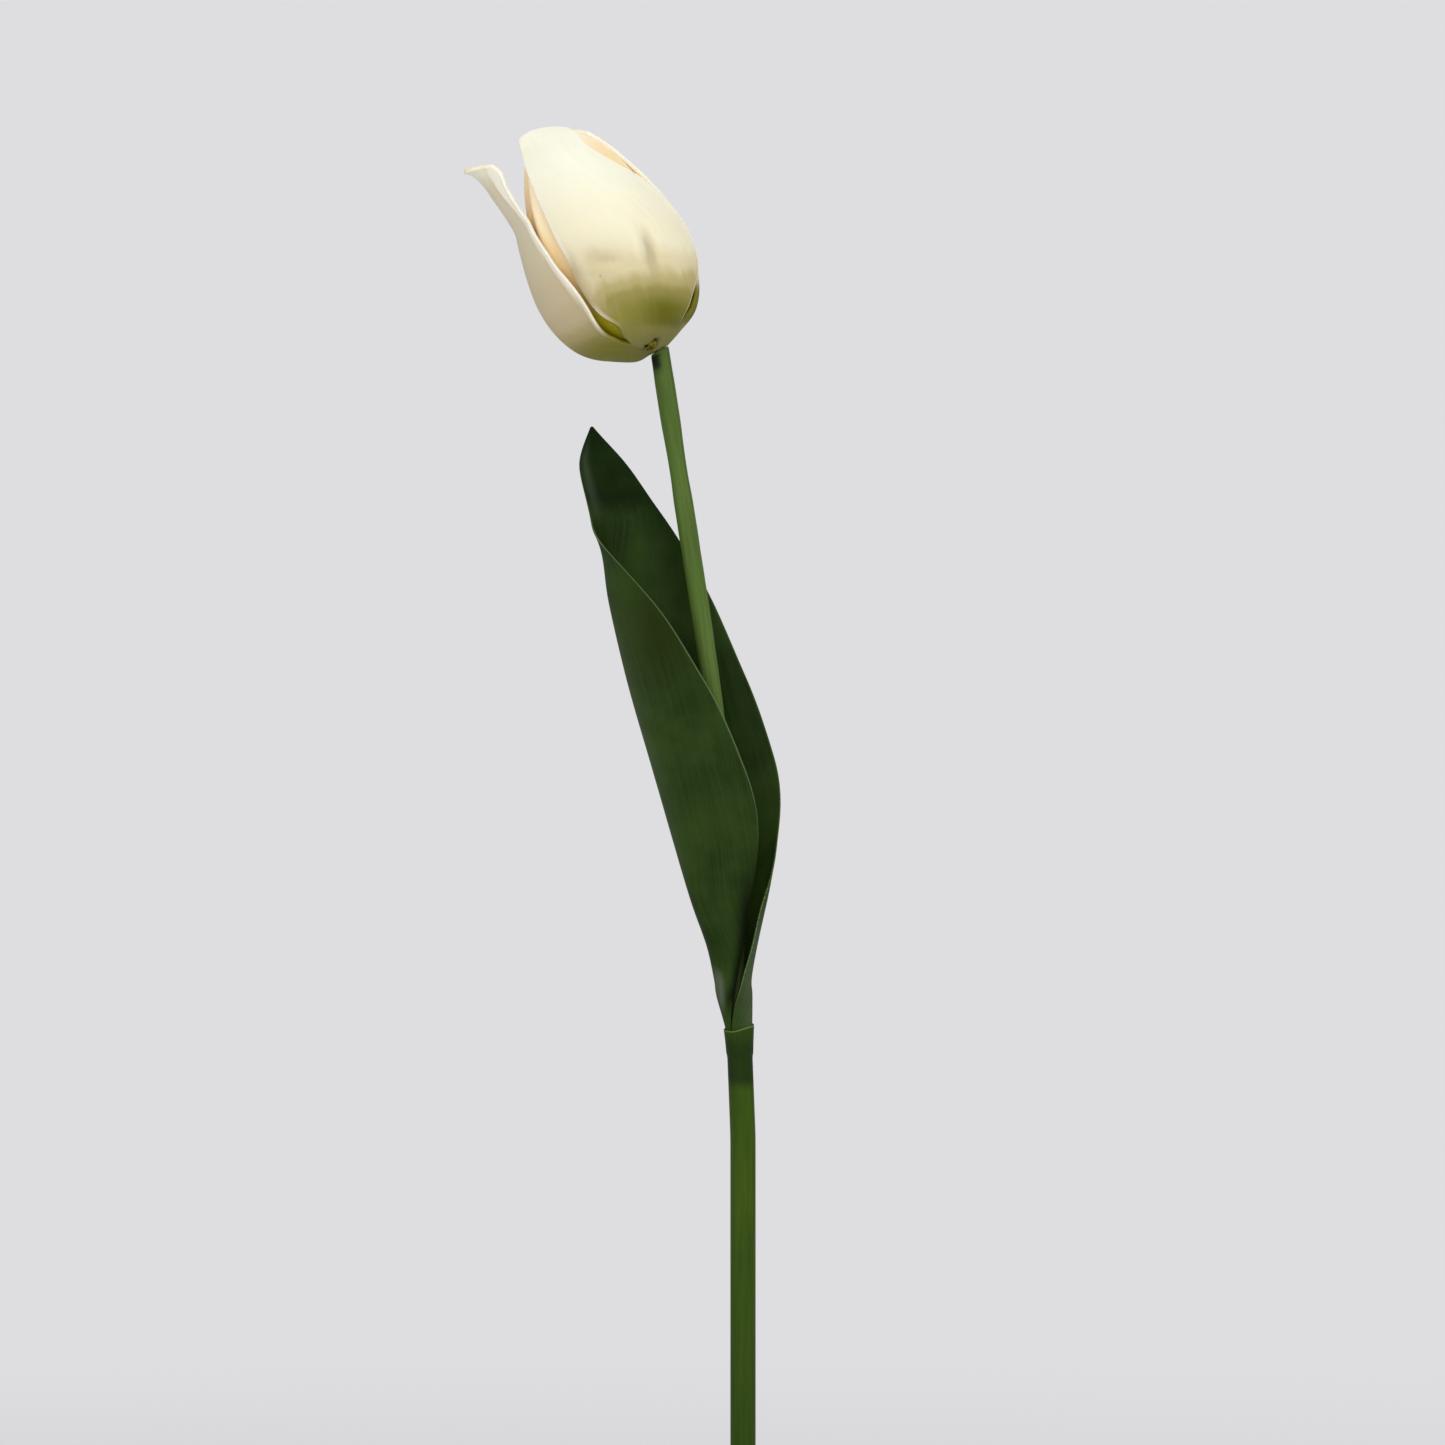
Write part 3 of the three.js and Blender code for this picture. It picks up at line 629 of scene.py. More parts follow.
def front_relief(t, s):
    """A ridge with a dent beside it, a crease at the left and fine wrinkles at the left edge."""
    skewed = s - 0.69 * (t - 0.43)
    slope = t + 0.176 * (s + 0.54)
    ridge = 1.2 * bell(skewed, -0.245, 0.07) * bell(t, 0.47, 0.1)
    dent = 1.1 * bell(skewed, -0.1, 0.085) * bell(t, 0.44, 0.08)
    crease = (0.6 * bell(slope, 0.45, 0.018) - 0.8 * bell(slope, 0.487, 0.026)) * bell(s, -0.57, 0.2)
    wrinkles = 0.07 * np.sin(160 * (t + 0.25 * s)) * bell(s, -0.88, 0.12) * bell(t, 0.5, 0.07)
    return ridge - dent + crease + wrinkles


def outer_relief(number, t, s):
    """Soft waves of the foam, in millimetres, with the front lobe's own and the curled left rim."""
    clear = window(0.24, 0.42, 0.9, 1, t)
    wave = 0.16 * np.sin(7 * t * math.pi + 2.1 * number) * s**2 * np.sign(s)
    wave += 0.12 * np.sin(5 * s + 9 * t + number)
    if number == 0:
        return (wave + front_relief(t, s)) * clear - 0.9 * neck_pit(t, s)
    if number == 2:
        wave += np.maximum(0, (s - 0.86) / 0.14) ** 2 * (1 - ease(0.8, 0.95, t))
    return wave * clear


def inner_relief(number, t, s):
    """The right and left lobes swell into the gaps between the outer lobes."""
    if number == 0:
        high = 1.5 * bell(s, 0.05, 0.5) * bell(t, 0.8, 0.14)
        low = 1.3 * bell(s, -0.45, 0.16) * bell(t, 0.25, 0.05)
        return high + low
    return 1.7 * bell(s, -0.38, 0.2) * bell(t, 0.68, 0.22) if number == 2 else 0 * t


def rim_marks(values):
    """A painted highlight along a lobe's edges, and a faint pinkish tint beside it."""
    t, edge, inside = values["along"], values["edge"], values["inside"]
    lip = ease(0.93, 0.99, edge + 0.05 * inside) * ease(0.27, 0.36, t)
    blush = 0.12 * ease(0.8, 1, edge) * window(0.3, 0.5, 0.6, 0.8, t)
    return lip, blush


def outer_marks(values, points):
    """Colour values of the outer lobes, at their points in the frame."""
    t, s, inside, strip = (values[key] for key in ("along", "side", "inside", "strip"))
    x, z = points[:, 0], points[:, 2]
    front, back, left = ((inside == 0) & (strip == number) for number in range(3))
    lip, blush = rim_marks(values)

    # The front lobe turns from cream to green at a horizontal border in the frame: partly its green paint,
    # partly painted shade from the light above
    green_and_shade_level = 0.462 + 0.0115 * (z - 402.4) - 0.004 * np.maximum(0, 393.8 - z) - 0.02 * ease(-31, -22, x)
    green_and_shade_level += 0.07 * ease(0.72, 0.97, -s) * ease(0.28, 0.36, t)
    green_and_shade_level += 0.045 * (1 - ease(-42, -28, x)) * bell(z, 391, 6)

    # Olive paint on the front lobe's foot, the left lobe's foot and the back lobe beside the crescent; on
    # both feet it is deepened as painted shade, and the front patch's lower edge is set at a fixed height in
    # the frame
    foot = (0.15 + 0.8 * ease(380.8, 383, z)) * bell(x, -20, 7) * bell(np.maximum(z, 385.5), 385.5, 4.5)
    beside = ease(-0.75, -0.45, s)
    green = front * foot + left * 0.58 * (1 - ease(0.24, 0.42, t))
    green += back * 0.85 * (1 - beside) * window(0.13, 0.17, 0.3, 0.42, t)
    green += back * 0.4 * beside * window(0.1, 0.16, 0.2, 0.38, t)

    # Painted shade in the torn hollows and on the left lobe's foot by the seam
    torn = 1.4 * neck_pit(t, s) + 0.8 * bell(t, 0.095, 0.022) * bell(s, -0.72, 0.2)
    pit = front * np.minimum(1, torn) + left * 0.8 * bell(t, 0.1, 0.018) * bell(s, 1.02, 0.09)

    # Painted shade on the front lobe's left border, and a painted highlight on the left lobe's right rim,
    # which rolls outwards
    border = front * ease(0.8, 0.97, -s) * window(384, 388, 394, 403, z)
    rolled = s + 0.07 * ease(0.55, 0.72, t) + 0.2 * window(0.7, 0.86, 0.9, 1, t)
    band = ease(0.88, 0.95, rolled) * ease(0.36, 0.5, t)
    # A painted highlight on the front lobe's right edge beside the crescent
    lip += front * 0.6 * ease(0.88, 0.97, s) * window(0.16, 0.18, 0.27, 0.36, t)
    lip = np.maximum(lip * (1 - border), left * band)
    # Painted shade on the left lobe's outer face, which faces down and away from the light
    under = 0.68 - 0.2 * ease(0.45, 0.8, t) - 0.4 * ease(0.84, 0.95, t)
    under += 0.2 * bell(rolled, 0.87, 0.05) * ease(0.7, 0.8, t)
    blush += left * under * (1 - band) * ease(0.25, 0.42, t)
    # Painted shade in a crease on the front lobe and along its left border
    blush += front * 0.34 * bell(x, -36, 10) * bell(z, 399, 5) + 0.75 * border
    return dict(tint=np.where(front, np.maximum(0, green_and_shade_level), t), olive=green, pit=pit, lip=lip, blush=blush)


def inner_marks(values, points):
    """Colour values of the inner lobes, the right one warmer towards its tip, partly as painted light
    glowing through the foam.
    """
    t, strip = values["along"], values["strip"]
    lip, blush = rim_marks(values)
    warm_tint_and_glow = (strip == 0) * ease(0.5, 0.65, t)
    return dict(tint=t - 0.17 * warm_tint_and_glow, olive=0 * t, pit=0 * t, lip=lip, blush=blush)


def whorl(name, rows, lobes, roots, relief, marks, material, slot):
    """Three lobes in one piece, joined below the roots of the slits between them."""
    surfaces = [petal_surface(rows, lobe) for lobe in lobes]
    joined = [[round(root / SLIT * FOOT_STEPS) for root in pair] for pair in roots]
    points, faces, values = sheet(surfaces, petal_wall, relief, PETAL_LENGTH, PETAL_WIDTH, joined)
    points = in_head(points)
    values.update(marks(values, points))
    piece(name, points, faces, material, "corolla", [name.replace("_look", "")], values)


outer_shape = (OUTER_ROWS, OUTER_LOBES, OUTER_ROOTS, outer_relief)
inner_shape = (INNER_ROWS, INNER_LOBES, INNER_ROOTS, inner_relief)
whorl("outer_petals_look", *outer_shape, outer_marks, cream, "petal_cream")
whorl("inner_petals_look", *inner_shape, inner_marks, peach, "petal_peach")


# Upper stem

STRAIGHT_STEPS = 20
BEND_STEPS = 140
STEM_FOOT = 1.6


def bend_line(count):
    """Points and directions of the stem above its straight foot, in its own plane."""
    way = np.array([-math.sin(NECK_LEAN), math.cos(NECK_LEAN)])
    first, second = np.array([0.0, BEND_START]), np.array([0.0, BEND_START + LOW_PULL])
    third = NECK - NECK_PULL * way
    u = np.linspace(0, 1, count)[:, None]
    v = 1 - u
    line = v**3 * first + 3 * v * v * u * second + 3 * v * u * u * third + u**3 * NECK
    run = v * v * (second - first) + 2 * v * u * (third - second) + u * u * (NECK - third)
    return line, run / np.linalg.norm(run, axis=1, keepdims=True)


bend, bend_way = bend_line(BEND_STEPS)
straight_heights = np.linspace(STEM_FOOT, BEND_START, STRAIGHT_STEPS + 1)[:-1]
stem_line = np.concatenate([np.stack([0 * straight_heights, straight_heights], 1), bend])
stem_way = np.concatenate([np.tile([0.0, 1.0], (STRAIGHT_STEPS, 1)), bend_way])


def stem_loops(rings, around):
    """Loops round the stem's line at [spot along the line, radius], with the slanted top cut."""
    turn = full_turn(around)
    last = len(stem_line) - 1
    loops = []
    for spot, radius in rings:
        i = min(int(spot), last - 1)
        f = spot - i
        centre = stem_line[i] * (1 - f) + stem_line[i + 1] * f
        way = stem_way[i]
        slant = math.tan(KNEE) * ease(last - 6, last, spot)
        swing = radius * np.cos(turn)
        x = centre[0] + swing * way[1] + slant * swing * way[0]
        z = centre[1] - swing * way[0] + slant * swing * way[1]
        loops.append(np.stack([x, radius * np.sin(turn), z], -1))
    return np.array(loops)


def half_turns(points, around):
    """How far round its half of the stem each point lies, 0 to 1 in front and 2 to 3 behind."""
    step = np.arange(around)
    turn = np.minimum(step, around - step) / around * 2
    return np.tile(turn, len(points) // around) + 2 * (points[:, 1] > 0)


def upper_stem(around=40):
    """The coated stem: its skin, the cut at the neck, the wire's bore and the wider hole in its foot."""
    top = len(stem_line) - 1
    spots = np.linspace(0.3, top - 0.6, 160)
    rise = np.interp(spots, np.arange(top + 1), stem_line[:, 1])
    girth = 1 + 0.01 * np.sin(spots * 0.31) + 0.007 * np.sin(spots * 0.83)
    girth += 0.03 * bell(rise, 180, 8) - 0.08 * bell(rise, 162, 7)
    skin = list(zip(spots, UPPER_RADIUS * girth))
    rim = [(top - 0.3, UPPER_RADIUS - 0.05), (top - 0.08, UPPER_RADIUS - 0.16), (top, UPPER_RADIUS - 0.4)]
    bore = [(top, UPPER_BORE + 0.25), (top - 0.2, UPPER_BORE)]
    bore += [(spot, UPPER_BORE) for spot in np.linspace(top - 2, 10.2, 60)]
    foot = [(9.9, UPPER_BORE), (9.9, LOWER_BORE), (0.2, LOWER_BORE)]
    foot += [(0, LOWER_BORE + 0.2), (0, UPPER_RADIUS - 0.2)]
    loops = stem_loops(skin + rim + bore + foot, around)
    points, faces = loft(loops, closed=True)
    heights = points[:, 2]
    outside = np.repeat(np.arange(len(loops)) < len(skin), around)
    left_side = np.tile(ease(0.3, 0.75, 0.5 - 0.5 * np.cos(full_turn(around))), len(loops))
    # Painted shadow on the stem's left side under the head, and low down inside the leaf's fold
    neck = ease(185.5, 188, heights) * left_side
    in_leaf = 0.85 * (1 - ease(48, 64, heights))
    values = {
        "turn": half_turns(points, around),
        "along": heights,
        "shadow_patch": outside * (neck + in_leaf),
        "lip": 0 * heights,
        "low": 0 * heights,
    }
    points = in_upper(points)
    stands_for = ["upper_stem_tube"]
    piece("upper_stem_look", points, faces, upper_green, "upper_stem", stands_for, values)


upper_stem()


# Leaf

# Height above the rim, shift, half width, depth share, and the fold's front and back edges in degrees
LEAF_ROWS = [
    (-SHEATH_INSERT, 0, SHEATH_END, 0, 128, 484),
    (0, 0, SHEATH_OUTER, 0, 128, 484),
    (8.5, -0.8, SHEATH_OUTER + 1.2, 0.05, 93, 440),
    (13, -1.05, SHEATH_OUTER + 1.45, 0.14, 74, 418),
    (21.8, -0.85, 6.7, 0.4, 59, 396),
    (33.5, -0.9, 10.05, 0.7, 53, 386),
    (49, -0.25, 14.1, 0.86, 54.8, 343),
    (70, 2.45, 20.7, 0.97, 81.4, 305),
    (90.7, 3.25, 24.8, 1, 100.9, 285),
    (111.7, 1.4, 24.8, 0.98, 122.4, 275),
    (126.2, -1.95, 21.6, 0.94, 157, 270),
    (138, -6.4, 21.3, 0.9, 204.5, 266),
    (149, -10.4, 19.8, 0.86, 221, 260),
    (158.2, -11.6, 18.4, 0.82, 239, 241),
]
LEAF_STEPS = len(LEAF_ROWS) - 1
LEAF_LENGTH = np.linspace(0, 1, 157)
LEAF_WIDTH = spaced(57, 0.4)

# The line where the painted sheen on the leaf's shoulder ends, as heights and x in the frame
SHOULDER_HEIGHTS = [204.8, 207.4, 212.6, 214.9, 216.5]
SHOULDER_EDGE = [-4.7, -4.9, -5.2, -5.7, -7.5]


def leaf_turn(t, s):
    """Degrees round the leaf's fold; the front edge hooks outwards near the top."""
    front, back = along(LEAF_ROWS, t)[4:]
    front = front + 12 * bell(t, 0.805, 0.04)
    return back + (front - back) * (s + 1) / 2


def leaf_surface(t, s):
    """The outer face of the leaf, from the sheath in the socket to the tip."""
    height, shift, half, depth = along(LEAF_ROWS, t)[:4]
    turn = np.radians(leaf_turn(t, s))
    sheath = np.where(t * LEAF_STEPS < 1, half, SHEATH_OUTER)
    z = SOCKET_DEPTH + height
    x = np.interp(z, bend[:, 1], bend[:, 0]) + shift + half * np.cos(turn)
    return np.stack([x, -(sheath + depth * LEAF_DEPTH) * np.sin(turn), z], -1)


def leaf_wall(t, s):
    """Millimetres of wall, thin at the sheath's end and towards the edges."""
    in_socket = 1 - ease(0, 1, t * LEAF_STEPS)
    body = LEAF_WALL + (SHEATH_END_WALL - LEAF_WALL) * in_socket
    return body * (1 - 0.35 * s**8 * ease(0.15, 0.4, t))


def leaf_relief(number, t, s):
    """Slow waves along the edges, and the front border tucked in above the sheath."""
    waves = 0.3 * np.sin(13 * t + 2 * s) * s**4
    tuck = 0.6 * bell(t, 0.23, 0.05) + 1.4 * bell(t, 0.36, 0.07)
    return window(0.3, 0.5, 0.92, 1, t) * waves - tuck * ease(0.7, 1, s)


def leaf_marks(values, points):
    """Colour values of the leaf, at its points in the frame."""
    t, s, inside = values["along"], values["side"], values["inside"]
    x, y, z = points.T
    outside = 1 - inside
    low = outside * (1 - ease(0.36, 0.48, t))
    fore = 1 - ease(-3, 1, y)
    turn = leaf_turn(t, s)
    # Painted shade on the leaf's inside, deeper towards the back edge, and deepest over the top
    back_side = 0.15 + 0.6 * ease(0.3, 0.95, -s) * ease(0.66, 0.8, t)
    shoulder = 1 - ease(-0.9, 0.9, x - np.interp(z, SHOULDER_HEIGHTS, SHOULDER_EDGE))
    # Painted sheen on the sheath's left shoulder, on the flap, along the left border and inside near the tip
    gloss = low * 0.6 * fore * window(202, 208, 212, 218, z) * shoulder
    gloss += outside * 0.3 * (1 - ease(0.3, 0.42, t)) * bell(turn, 385, 45)
    gloss += outside * 0.42 * bell(turn, 186, 26) * ease(0.36, 0.5, t) * (1 - 0.5 * ease(0.6, 0.72, t))
    gloss += inside * 0.16 * bell(s, 0.72, 0.2) * window(0.8, 0.86, 0.93, 0.98, t)
    return dict(
        shade=0.95 * low * ease(0.1, 0.16, t) * ease(0.8, 0.98, s),
        deep=inside * np.maximum(back_side, 0.9 * ease(0.81, 0.86, t)),
        gloss=gloss,
        rust=outside * 0.75 * bell(x, -21, 9) * bell(z, 304, 13),
        # Where the painted edge highlight shows
        rim=0.55 * ease(0.4, 0.55, t) + 0.9 * (s < 0) * window(0.1, 0.14, 0.36, 0.5, t),
    )


def leaf():
    """One leaf, folded round the upper stem."""
    points, faces, values = sheet([leaf_surface], leaf_wall, leaf_relief, LEAF_LENGTH, LEAF_WIDTH, [(0, 0)])
    points = in_upper(points)
    values.update(leaf_marks(values, points))
    piece("leaf_look", points, faces, leaf_green, "leaf", ["leaf"], values)


leaf()


# Lower stem

def lower_rings():
    """[radius, height] round the lower stem from its foot over the rim into the socket."""
    outer = [(0, 0), (LOWER_RADIUS - 0.4, 0), (LOWER_RADIUS - 0.12, 0.1), (LOWER_RADIUS, 0.4)]
    heights = np.concatenate([np.linspace(2, 180, 60), np.linspace(181, SHEATH_FOOT - 1, 18)])
    outer += [(LOWER_RADIUS, height) for height in heights]
    start, end = SHEATH_END + FIT_GAP + SOCKET_WALL, RIM_RADIUS
    flare, rise = end - 0.1 - start, LOWER_LENGTH - 0.5 - SHEATH_FOOT
    outer += [(start + flare * u**1.4, SHEATH_FOOT + rise * u) for u in np.linspace(0, 1, 9)]
    lip = [(end - 0.07, LOWER_LENGTH - 0.2), (end - 0.1, LOWER_LENGTH - 0.05), (end - 0.18, LOWER_LENGTH)]
    lip += [(end - 0.27, LOWER_LENGTH - 0.05), (SHEATH_OUTER + FIT_GAP, LOWER_LENGTH - 0.2)]
    inner = [(SHEATH_END + FIT_GAP, SHEATH_FOOT), (SHEATH_INNER, SHEATH_FOOT - 0.3)]
    inner += [(SHEATH_INNER, SOCKET_FLOOR)]
    inner += [(LOWER_BORE, SOCKET_FLOOR), (LOWER_BORE, LEAN_START), (LOWER_BORE, FOOT_WALL), (0, FOOT_WALL)]
    return outer, lip, inner


def lower_stem(around=48):
    """The moulded tube with its leaning socket and the slanted rim."""
    outer, lip, inner = lower_rings()
    rings = outer + lip + inner
    x, y, height = np.moveaxis(turned(rings, around), -1, 0)
    flare = np.maximum(0, height - (LOWER_LENGTH - RIM_FLARE)) / RIM_FLARE
    slant = flare * (1.25 * ease(-0.6, 0.8, x / RIM_RADIUS) - 0.12 + 0.5 * y / RIM_RADIUS)
    lean = math.tan(SOCKET_LEAN) * np.maximum(0, height - LEAN_START)
    points, faces = loft(np.stack([x - lean, y, height + slant], -1))
    ring = np.repeat(np.arange(len(rings)), around)
    is_outer = ring < len(outer)
    height = height.ravel()
    values = {
        "turn": half_turns(points, around),
        "along": height,
        # Painted shadow on the collar round the socket
        "shadow_patch": 0.9 * is_outer * ease(183.6, 187.2, height) * (1 - 0.35 * ease(195, 199, height)),
        "lip": (ring >= len(outer)) & (ring < len(outer + lip)),
        "low": 1 - np.clip((height - 90) / 80, 0, 1),
    }
    stands_for = ["lower_stem_tube"]
    piece("lower_stem_look", points, faces, lower_green, "lower_stem", stands_for, values)


lower_stem()


# Inside the flower

def core_piece(node, name, points, faces, material, smooth=0):
    """A piece of the flower's core that stands for one node."""
    piece(name, in_head(points), faces, material, "flower_core", [node], smooth=smooth)


def hub():
    """The rivet: a shank through the petals, a conical flange and a post, bored for the wire."""
    shank = [(UPPER_BORE, SEAT_GAP), (HUB_SHANK - 0.3, SEAT_GAP), (HUB_SHANK, SEAT_GAP + 0.15)]
    shank += [(HUB_SHANK, FLANGE_BASE - 0.15)]
    under = [(HUB_SHANK + 0.15, FLANGE_BASE + 0.05), (HUB_FLANGE - 0.2, FLANGE_RIM - 0.07)]
    edge = [(HUB_FLANGE, FLANGE_RIM + 0.12), (HUB_FLANGE, FLANGE_TOP - 0.2), (HUB_FLANGE - 0.15, FLANGE_TOP)]
    post = [(HUB_POST + 0.2, FLANGE_TOP), (HUB_POST, FLANGE_TOP + 0.2), (HUB_POST, POST_TOP - 0.3)]
    post += [(HUB_POST - 0.25, POST_TOP), (0.6, POST_TOP), (0, POST_TOP)]
    bore = [(0, PEG_TOP), (UPPER_BORE - 0.2, PEG_TOP), (UPPER_BORE, PEG_TOP - 0.2)]
    points, faces = loft(turned(shank + under + edge + post + bore), closed=True)
    core_piece("petal_hub", "petal_hub_look", points, faces, olive)


def pistil(around=48):
    """A column over the hub's post that turns from round to three-sided."""
    bore, low = HUB_POST + FIT_GAP, CORE_SEAT
    base = [(0, POST_TOP + SEAT_GAP), (HUB_POST, POST_TOP + SEAT_GAP), (bore, POST_TOP + 0.1)]
    base += [(bore, low + 0.2), (bore + 0.2, low), (PISTIL_RADIUS - 0.2, low), (PISTIL_RADIUS, low + 0.25)]
    shaft = [
        (PISTIL_RADIUS + 0.4 * math.sin(u * math.pi) ** 1.2 - 0.5 * u, low + 0.3 + (PISTIL_HEIGHT - 0.7) * u)
        for u in np.linspace(0.06, 1, 22)
    ]
    top = [(2.1, low + PISTIL_HEIGHT - 0.05), (0, low + PISTIL_HEIGHT)]
    loops = turned(base + shaft + top, around)
    turn = np.arctan2(loops[..., 1], loops[..., 0])
    ribs = 0.05 * np.cos(3 * turn) * ease(low + 1.3, low + 7.3, loops[..., 2])
    ribs[: len(base) - 1] = 0
    loops[..., :2] *= 1 + ribs[..., None]
    points, faces = loft(loops)
    core_piece("pistil", "pistil_look", points, faces, pistil_green)


def stigma(around=72):
    """A low cushion of three lobes with a groove along each."""
    cushion = [(0, 0), (0.6, 0), (0.86, 0.1), (0.97, 0.5), (1, 1), (0.95, 1.6), (0.82, 2), (0.6, 2.2)]
    cushion += [(0.35, 2.05), (0, 1.9)]
    loops = turned(cushion, around)
    turn = np.arctan2(loops[..., 1], loops[..., 0])
    loops[..., :2] *= (STIGMA_REACH * (0.68 + 0.32 * np.cos(3 * turn)))[..., None]
    groove = bell(np.mod(turn * 3 + math.pi, 2 * math.pi) - math.pi, 0, 0.5) * (loops[..., 2] > 1.8)
    depth = 0.5 * groove * np.hypot(loops[..., 0], loops[..., 1]) / 4
    loops[..., 2] += CORE_SEAT + PISTIL_HEIGHT + SEAT_GAP - depth
    points, faces = loft(loops)
    core_piece("stigma", "stigma_look", points, faces, stamen_cream, smooth=1)


def on_stamen(number, points):
    """Turns points along a stamen's own line, which leans outwards, into points of the head."""
    turn = 2 * math.pi * number / STAMEN_COUNT
    sin, cos = math.sin(turn), math.cos(turn)
    lean_sin, lean_cos = math.sin(STAMEN_LEAN), math.cos(STAMEN_LEAN)
    axes = np.array([
        [cos * lean_cos, sin * lean_cos, -lean_sin],
        [-sin, cos, 0],
        [cos * lean_sin, sin * lean_sin, lean_cos],
    ])
    ring = (PISTIL_RADIUS + HUB_FLANGE) / 2 + FIT_GAP
    return np.array([ring * cos, ring * sin, CORE_SEAT]) + points @ axes


def filament(number):
    """A thin thread that bows a little."""
    thread = [(0, 0), (0.4, 0), (FILAMENT_RADIUS, 0.25)]
    thread += [(FILAMENT_RADIUS - 0.22 * u, FILAMENT_HEIGHT * u) for u in np.linspace(0.08, 0.98, 14)]
    thread += [(0.2, FILAMENT_HEIGHT), (0, FILAMENT_HEIGHT)]
    loops = turned(thread, 14)
    loops[..., 0] += 0.12 * np.sin(loops[..., 2] / FILAMENT_HEIGHT * math.pi)
    points, faces = loft(loops)
    node, name = f"filament_{number + 1}", f"filament_look_{number + 1}"
    core_piece(node, name, on_stamen(number, points), faces, stamen_cream)


def anther(number):
    """A long sac with three grooves, on top of its filament."""
    low = FILAMENT_HEIGHT + SEAT_GAP
    shares = np.linspace(0.02, 0.98, 20)
    swell = ANTHER_RADIUS * np.sin(np.arccos(1 - 2 * shares)) ** 0.7
    sac = [(0, low), *zip(swell, low + ANTHER_LENGTH * shares), (0, low + ANTHER_LENGTH)]
    loops = turned(sac, 32)
    side = np.abs(np.arctan2(loops[..., 1], loops[..., 0]))
    grooves = 1 - 0.2 * bell(side - math.pi / 2, 0, 0.3) - 0.14 * bell(side, 0, 0.35)
    loops[..., :2] *= grooves[..., None]
    points, faces = loft(loops)
    node, name = f"anther_{number + 1}", f"anther_look_{number + 1}"
    core_piece(node, name, on_stamen(number, points), faces, anther_brown)


hub()
pistil()
stigma()
for number in range(STAMEN_COUNT):
    filament(number)
    anther(number)

# The wires and the connector stay as they are, with materials of their own
NODE_MATERIALS = {"lower_stem_wire": steel, "upper_stem_wire": steel, "stem_connector": plug_green}
for node, material in NODE_MATERIALS.items():
    mesh = frame["nodes"][node].data
    mesh.materials.clear()
    mesh.materials.append(material)


# Frayed foam

CRUMB_COUNT = 56
TUFT_COUNT = 24
CRUMB_SEED = 11


def neck_crumbs():
    """A tuft of crumbs on the petals' foot left of the stem, and small ones round the hole's rim."""
    random = np.random.default_rng(CRUMB_SEED)
    bands = [(math.sin(angle), -math.cos(angle)) for angle in np.linspace(0.35, 2.8, 8)]
    ball = turned([(0, -1), *bands, (0, 1)], 12)
    points, faces = [], []
    for number in range(CRUMB_COUNT):
        on_rim = number >= TUFT_COUNT
        turn = math.radians(random.uniform(-95, 95) if on_rim else random.normal(-13, 7))
        reach = random.uniform(2.2, 3.1) if on_rim else random.uniform(5.2, 8.4)
        size = random.uniform(0.12, 0.2) if on_rim else random.uniform(0.3, 0.7)
        dents = 1 + 0.25 * np.sin(5 * ball[..., :1] + number) * np.cos(4 * ball[..., 1:2])
        lump = ball * size * random.uniform(0.7, 1.3, 3) * dents
        height = (reach - FOOT_HOLE) * FOOT_SLOPE - 0.3 * size
        more, quads = loft(lump + np.array([reach * math.sin(turn), -reach * math.cos(turn), height]))
        faces += (np.array(quads) + sum(map(len, points))).tolist()
        points.append(more)
    piece("neck_crumbs", in_head(np.concatenate(points)), faces, crumb_brown, "corolla", None)


neck_crumbs()


# Floor, light and camera, in metres

BACKDROP = tone(222, 222, 224)
FLOOR_RINGS = [0, 0.2, 0.5, 1, 2, 5, 12, 40]
WORLD_LIGHT = 0.58
LAMP_TARGET = (-0.01, 0, 0.33)

# Name, place, width and power
LAMPS = [
    ("key", (0.45, -1.25, 1.5), 0.9, 8.8),
    ("front", (-0.3, -1.6, 0.85), 1.0, 6.9),
    ("fill", (-1.2, -0.8, 0.7), 1.2, 4),
    ("side", (1.25, -0.7, 0.8), 1.2, 4.5),
    ("back", (0.3, 1.3, 1.2), 1.0, 7),
]

# The photograph's width in pixels, the millimetres that one covers, and the pixel across and down
# where the lower stem's axis reaches the height of its socket's rim
PHOTO_WIDTH = 1445
PIXEL = 0.26
AXIS_PIXEL = (743, 1028.5)
CAMERA_DISTANCE = 1.5
SENSOR_WIDTH = 36


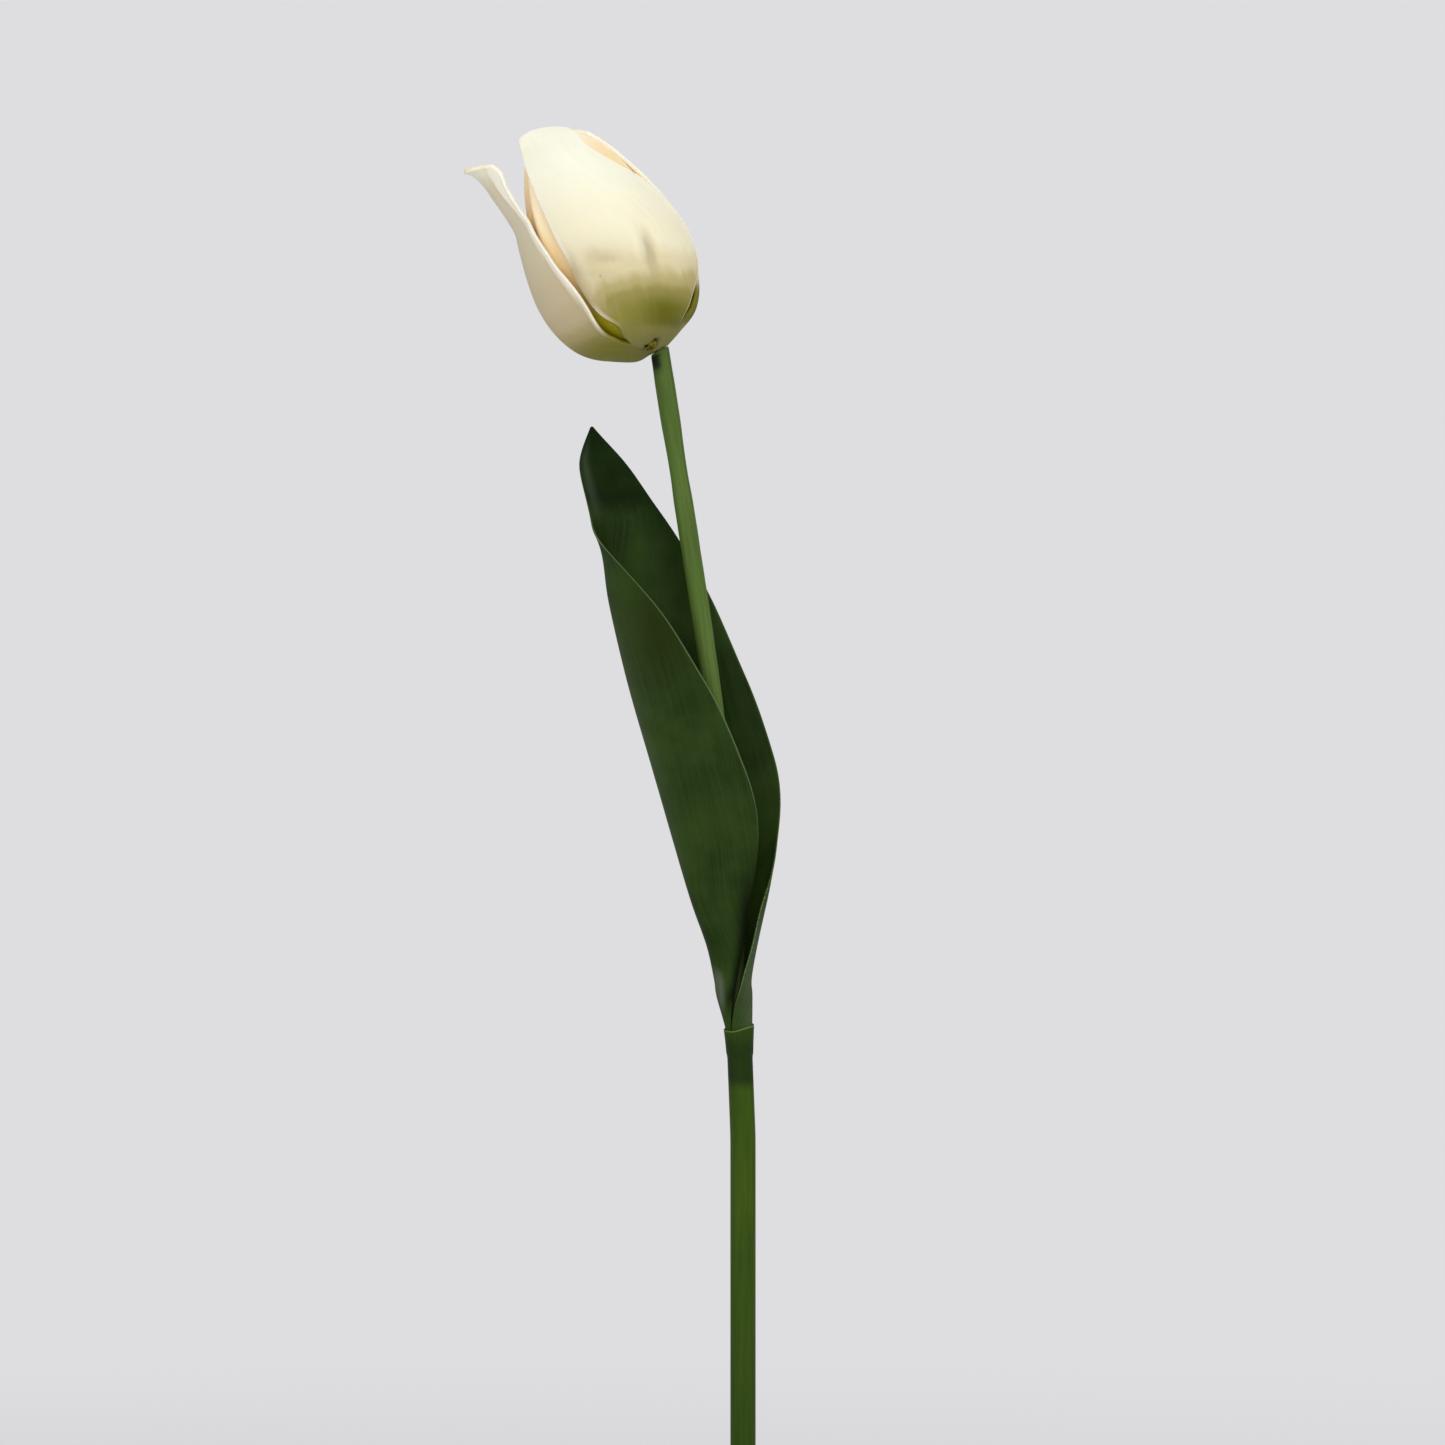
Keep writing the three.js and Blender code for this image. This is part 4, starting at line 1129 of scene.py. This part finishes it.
def stage_floor():
    """A pale floor that keeps the shadow and runs into the backdrop's colour further out."""
    points, faces = loft(turned([(reach, 0) for reach in FLOOR_RINGS], 96))
    mesh = bpy.data.meshes.new("floor")
    mesh.from_pydata(points.tolist(), [], faces)
    floor = add_object("floor", mesh)
    look = Look("floor_pale", roughness=0.9, specular_ior_level=0.1, base_color=BACKDROP)
    away = look.node("ShaderNodeVectorMath", "Value", {0: look.place()}, operation="LENGTH")
    glow = look.node("ShaderNodeEmission", 0, {"Color": BACKDROP, "Strength": 1.0})
    camera_ray = look.node("ShaderNodeLightPath", "Is Camera Ray", {})
    share = look.times(look.span(away, 0.25, 1.1), camera_ray)
    blended = look.node("ShaderNodeMixShader", 0, {0: share, 1: look.shader.outputs[0], 2: glow})
    look.put(look.tree.nodes["Material Output"].inputs[0], blended)
    mesh.materials.append(look.material)


def studio_world():
    """The backdrop's colour, at full strength for the camera and weaker as light."""
    world = bpy.data.worlds.new("studio")
    bpy.context.scene.world = world
    world.use_nodes = True
    tree = world.node_tree
    background = tree.nodes["Background"]
    path = tree.nodes.new("ShaderNodeLightPath")
    strength = tree.nodes.new("ShaderNodeMapRange")
    strength.inputs["To Min"].default_value = WORLD_LIGHT
    strength.inputs["To Max"].default_value = 1.0
    tree.links.new(path.outputs["Is Camera Ray"], strength.inputs[0])
    tree.links.new(strength.outputs[0], background.inputs["Strength"])
    background.inputs["Color"].default_value = BACKDROP


def lamp(name, place, size, power):
    """A round lamp that faces the flower and isn't seen itself."""
    data = bpy.data.lights.new(name, "AREA")
    data.shape = "DISK"
    data.size = size
    data.energy = power
    made = add_object(name, data)
    made.location = place
    made.rotation_euler = (Vector(LAMP_TARGET) - Vector(place)).to_track_quat("-Z", "Y").to_euler()
    made.visible_camera = False


def photo_camera():
    """A level view that shows the stem's axis and the socket's rim at their pixels."""
    middle = PHOTO_WIDTH / 2
    x = (middle - AXIS_PIXEL[0]) * PIXEL * MILLIMETRE
    z = (LOWER_LENGTH + (AXIS_PIXEL[1] - middle) * PIXEL) * MILLIMETRE
    camera = bpy.data.cameras.new("camera")
    camera.sensor_width = SENSOR_WIDTH
    camera.lens = SENSOR_WIDTH * CAMERA_DISTANCE / (PHOTO_WIDTH * PIXEL * MILLIMETRE)
    view = add_object("camera", camera)
    view.location = (x, -CAMERA_DISTANCE, z)
    view.rotation_euler = (math.pi / 2, 0, 0)
    bpy.context.scene.camera = view


stage_floor()
studio_world()
for settings in LAMPS:
    lamp(*settings)
photo_camera()
bpy.context.scene.view_settings.view_transform = "Standard"
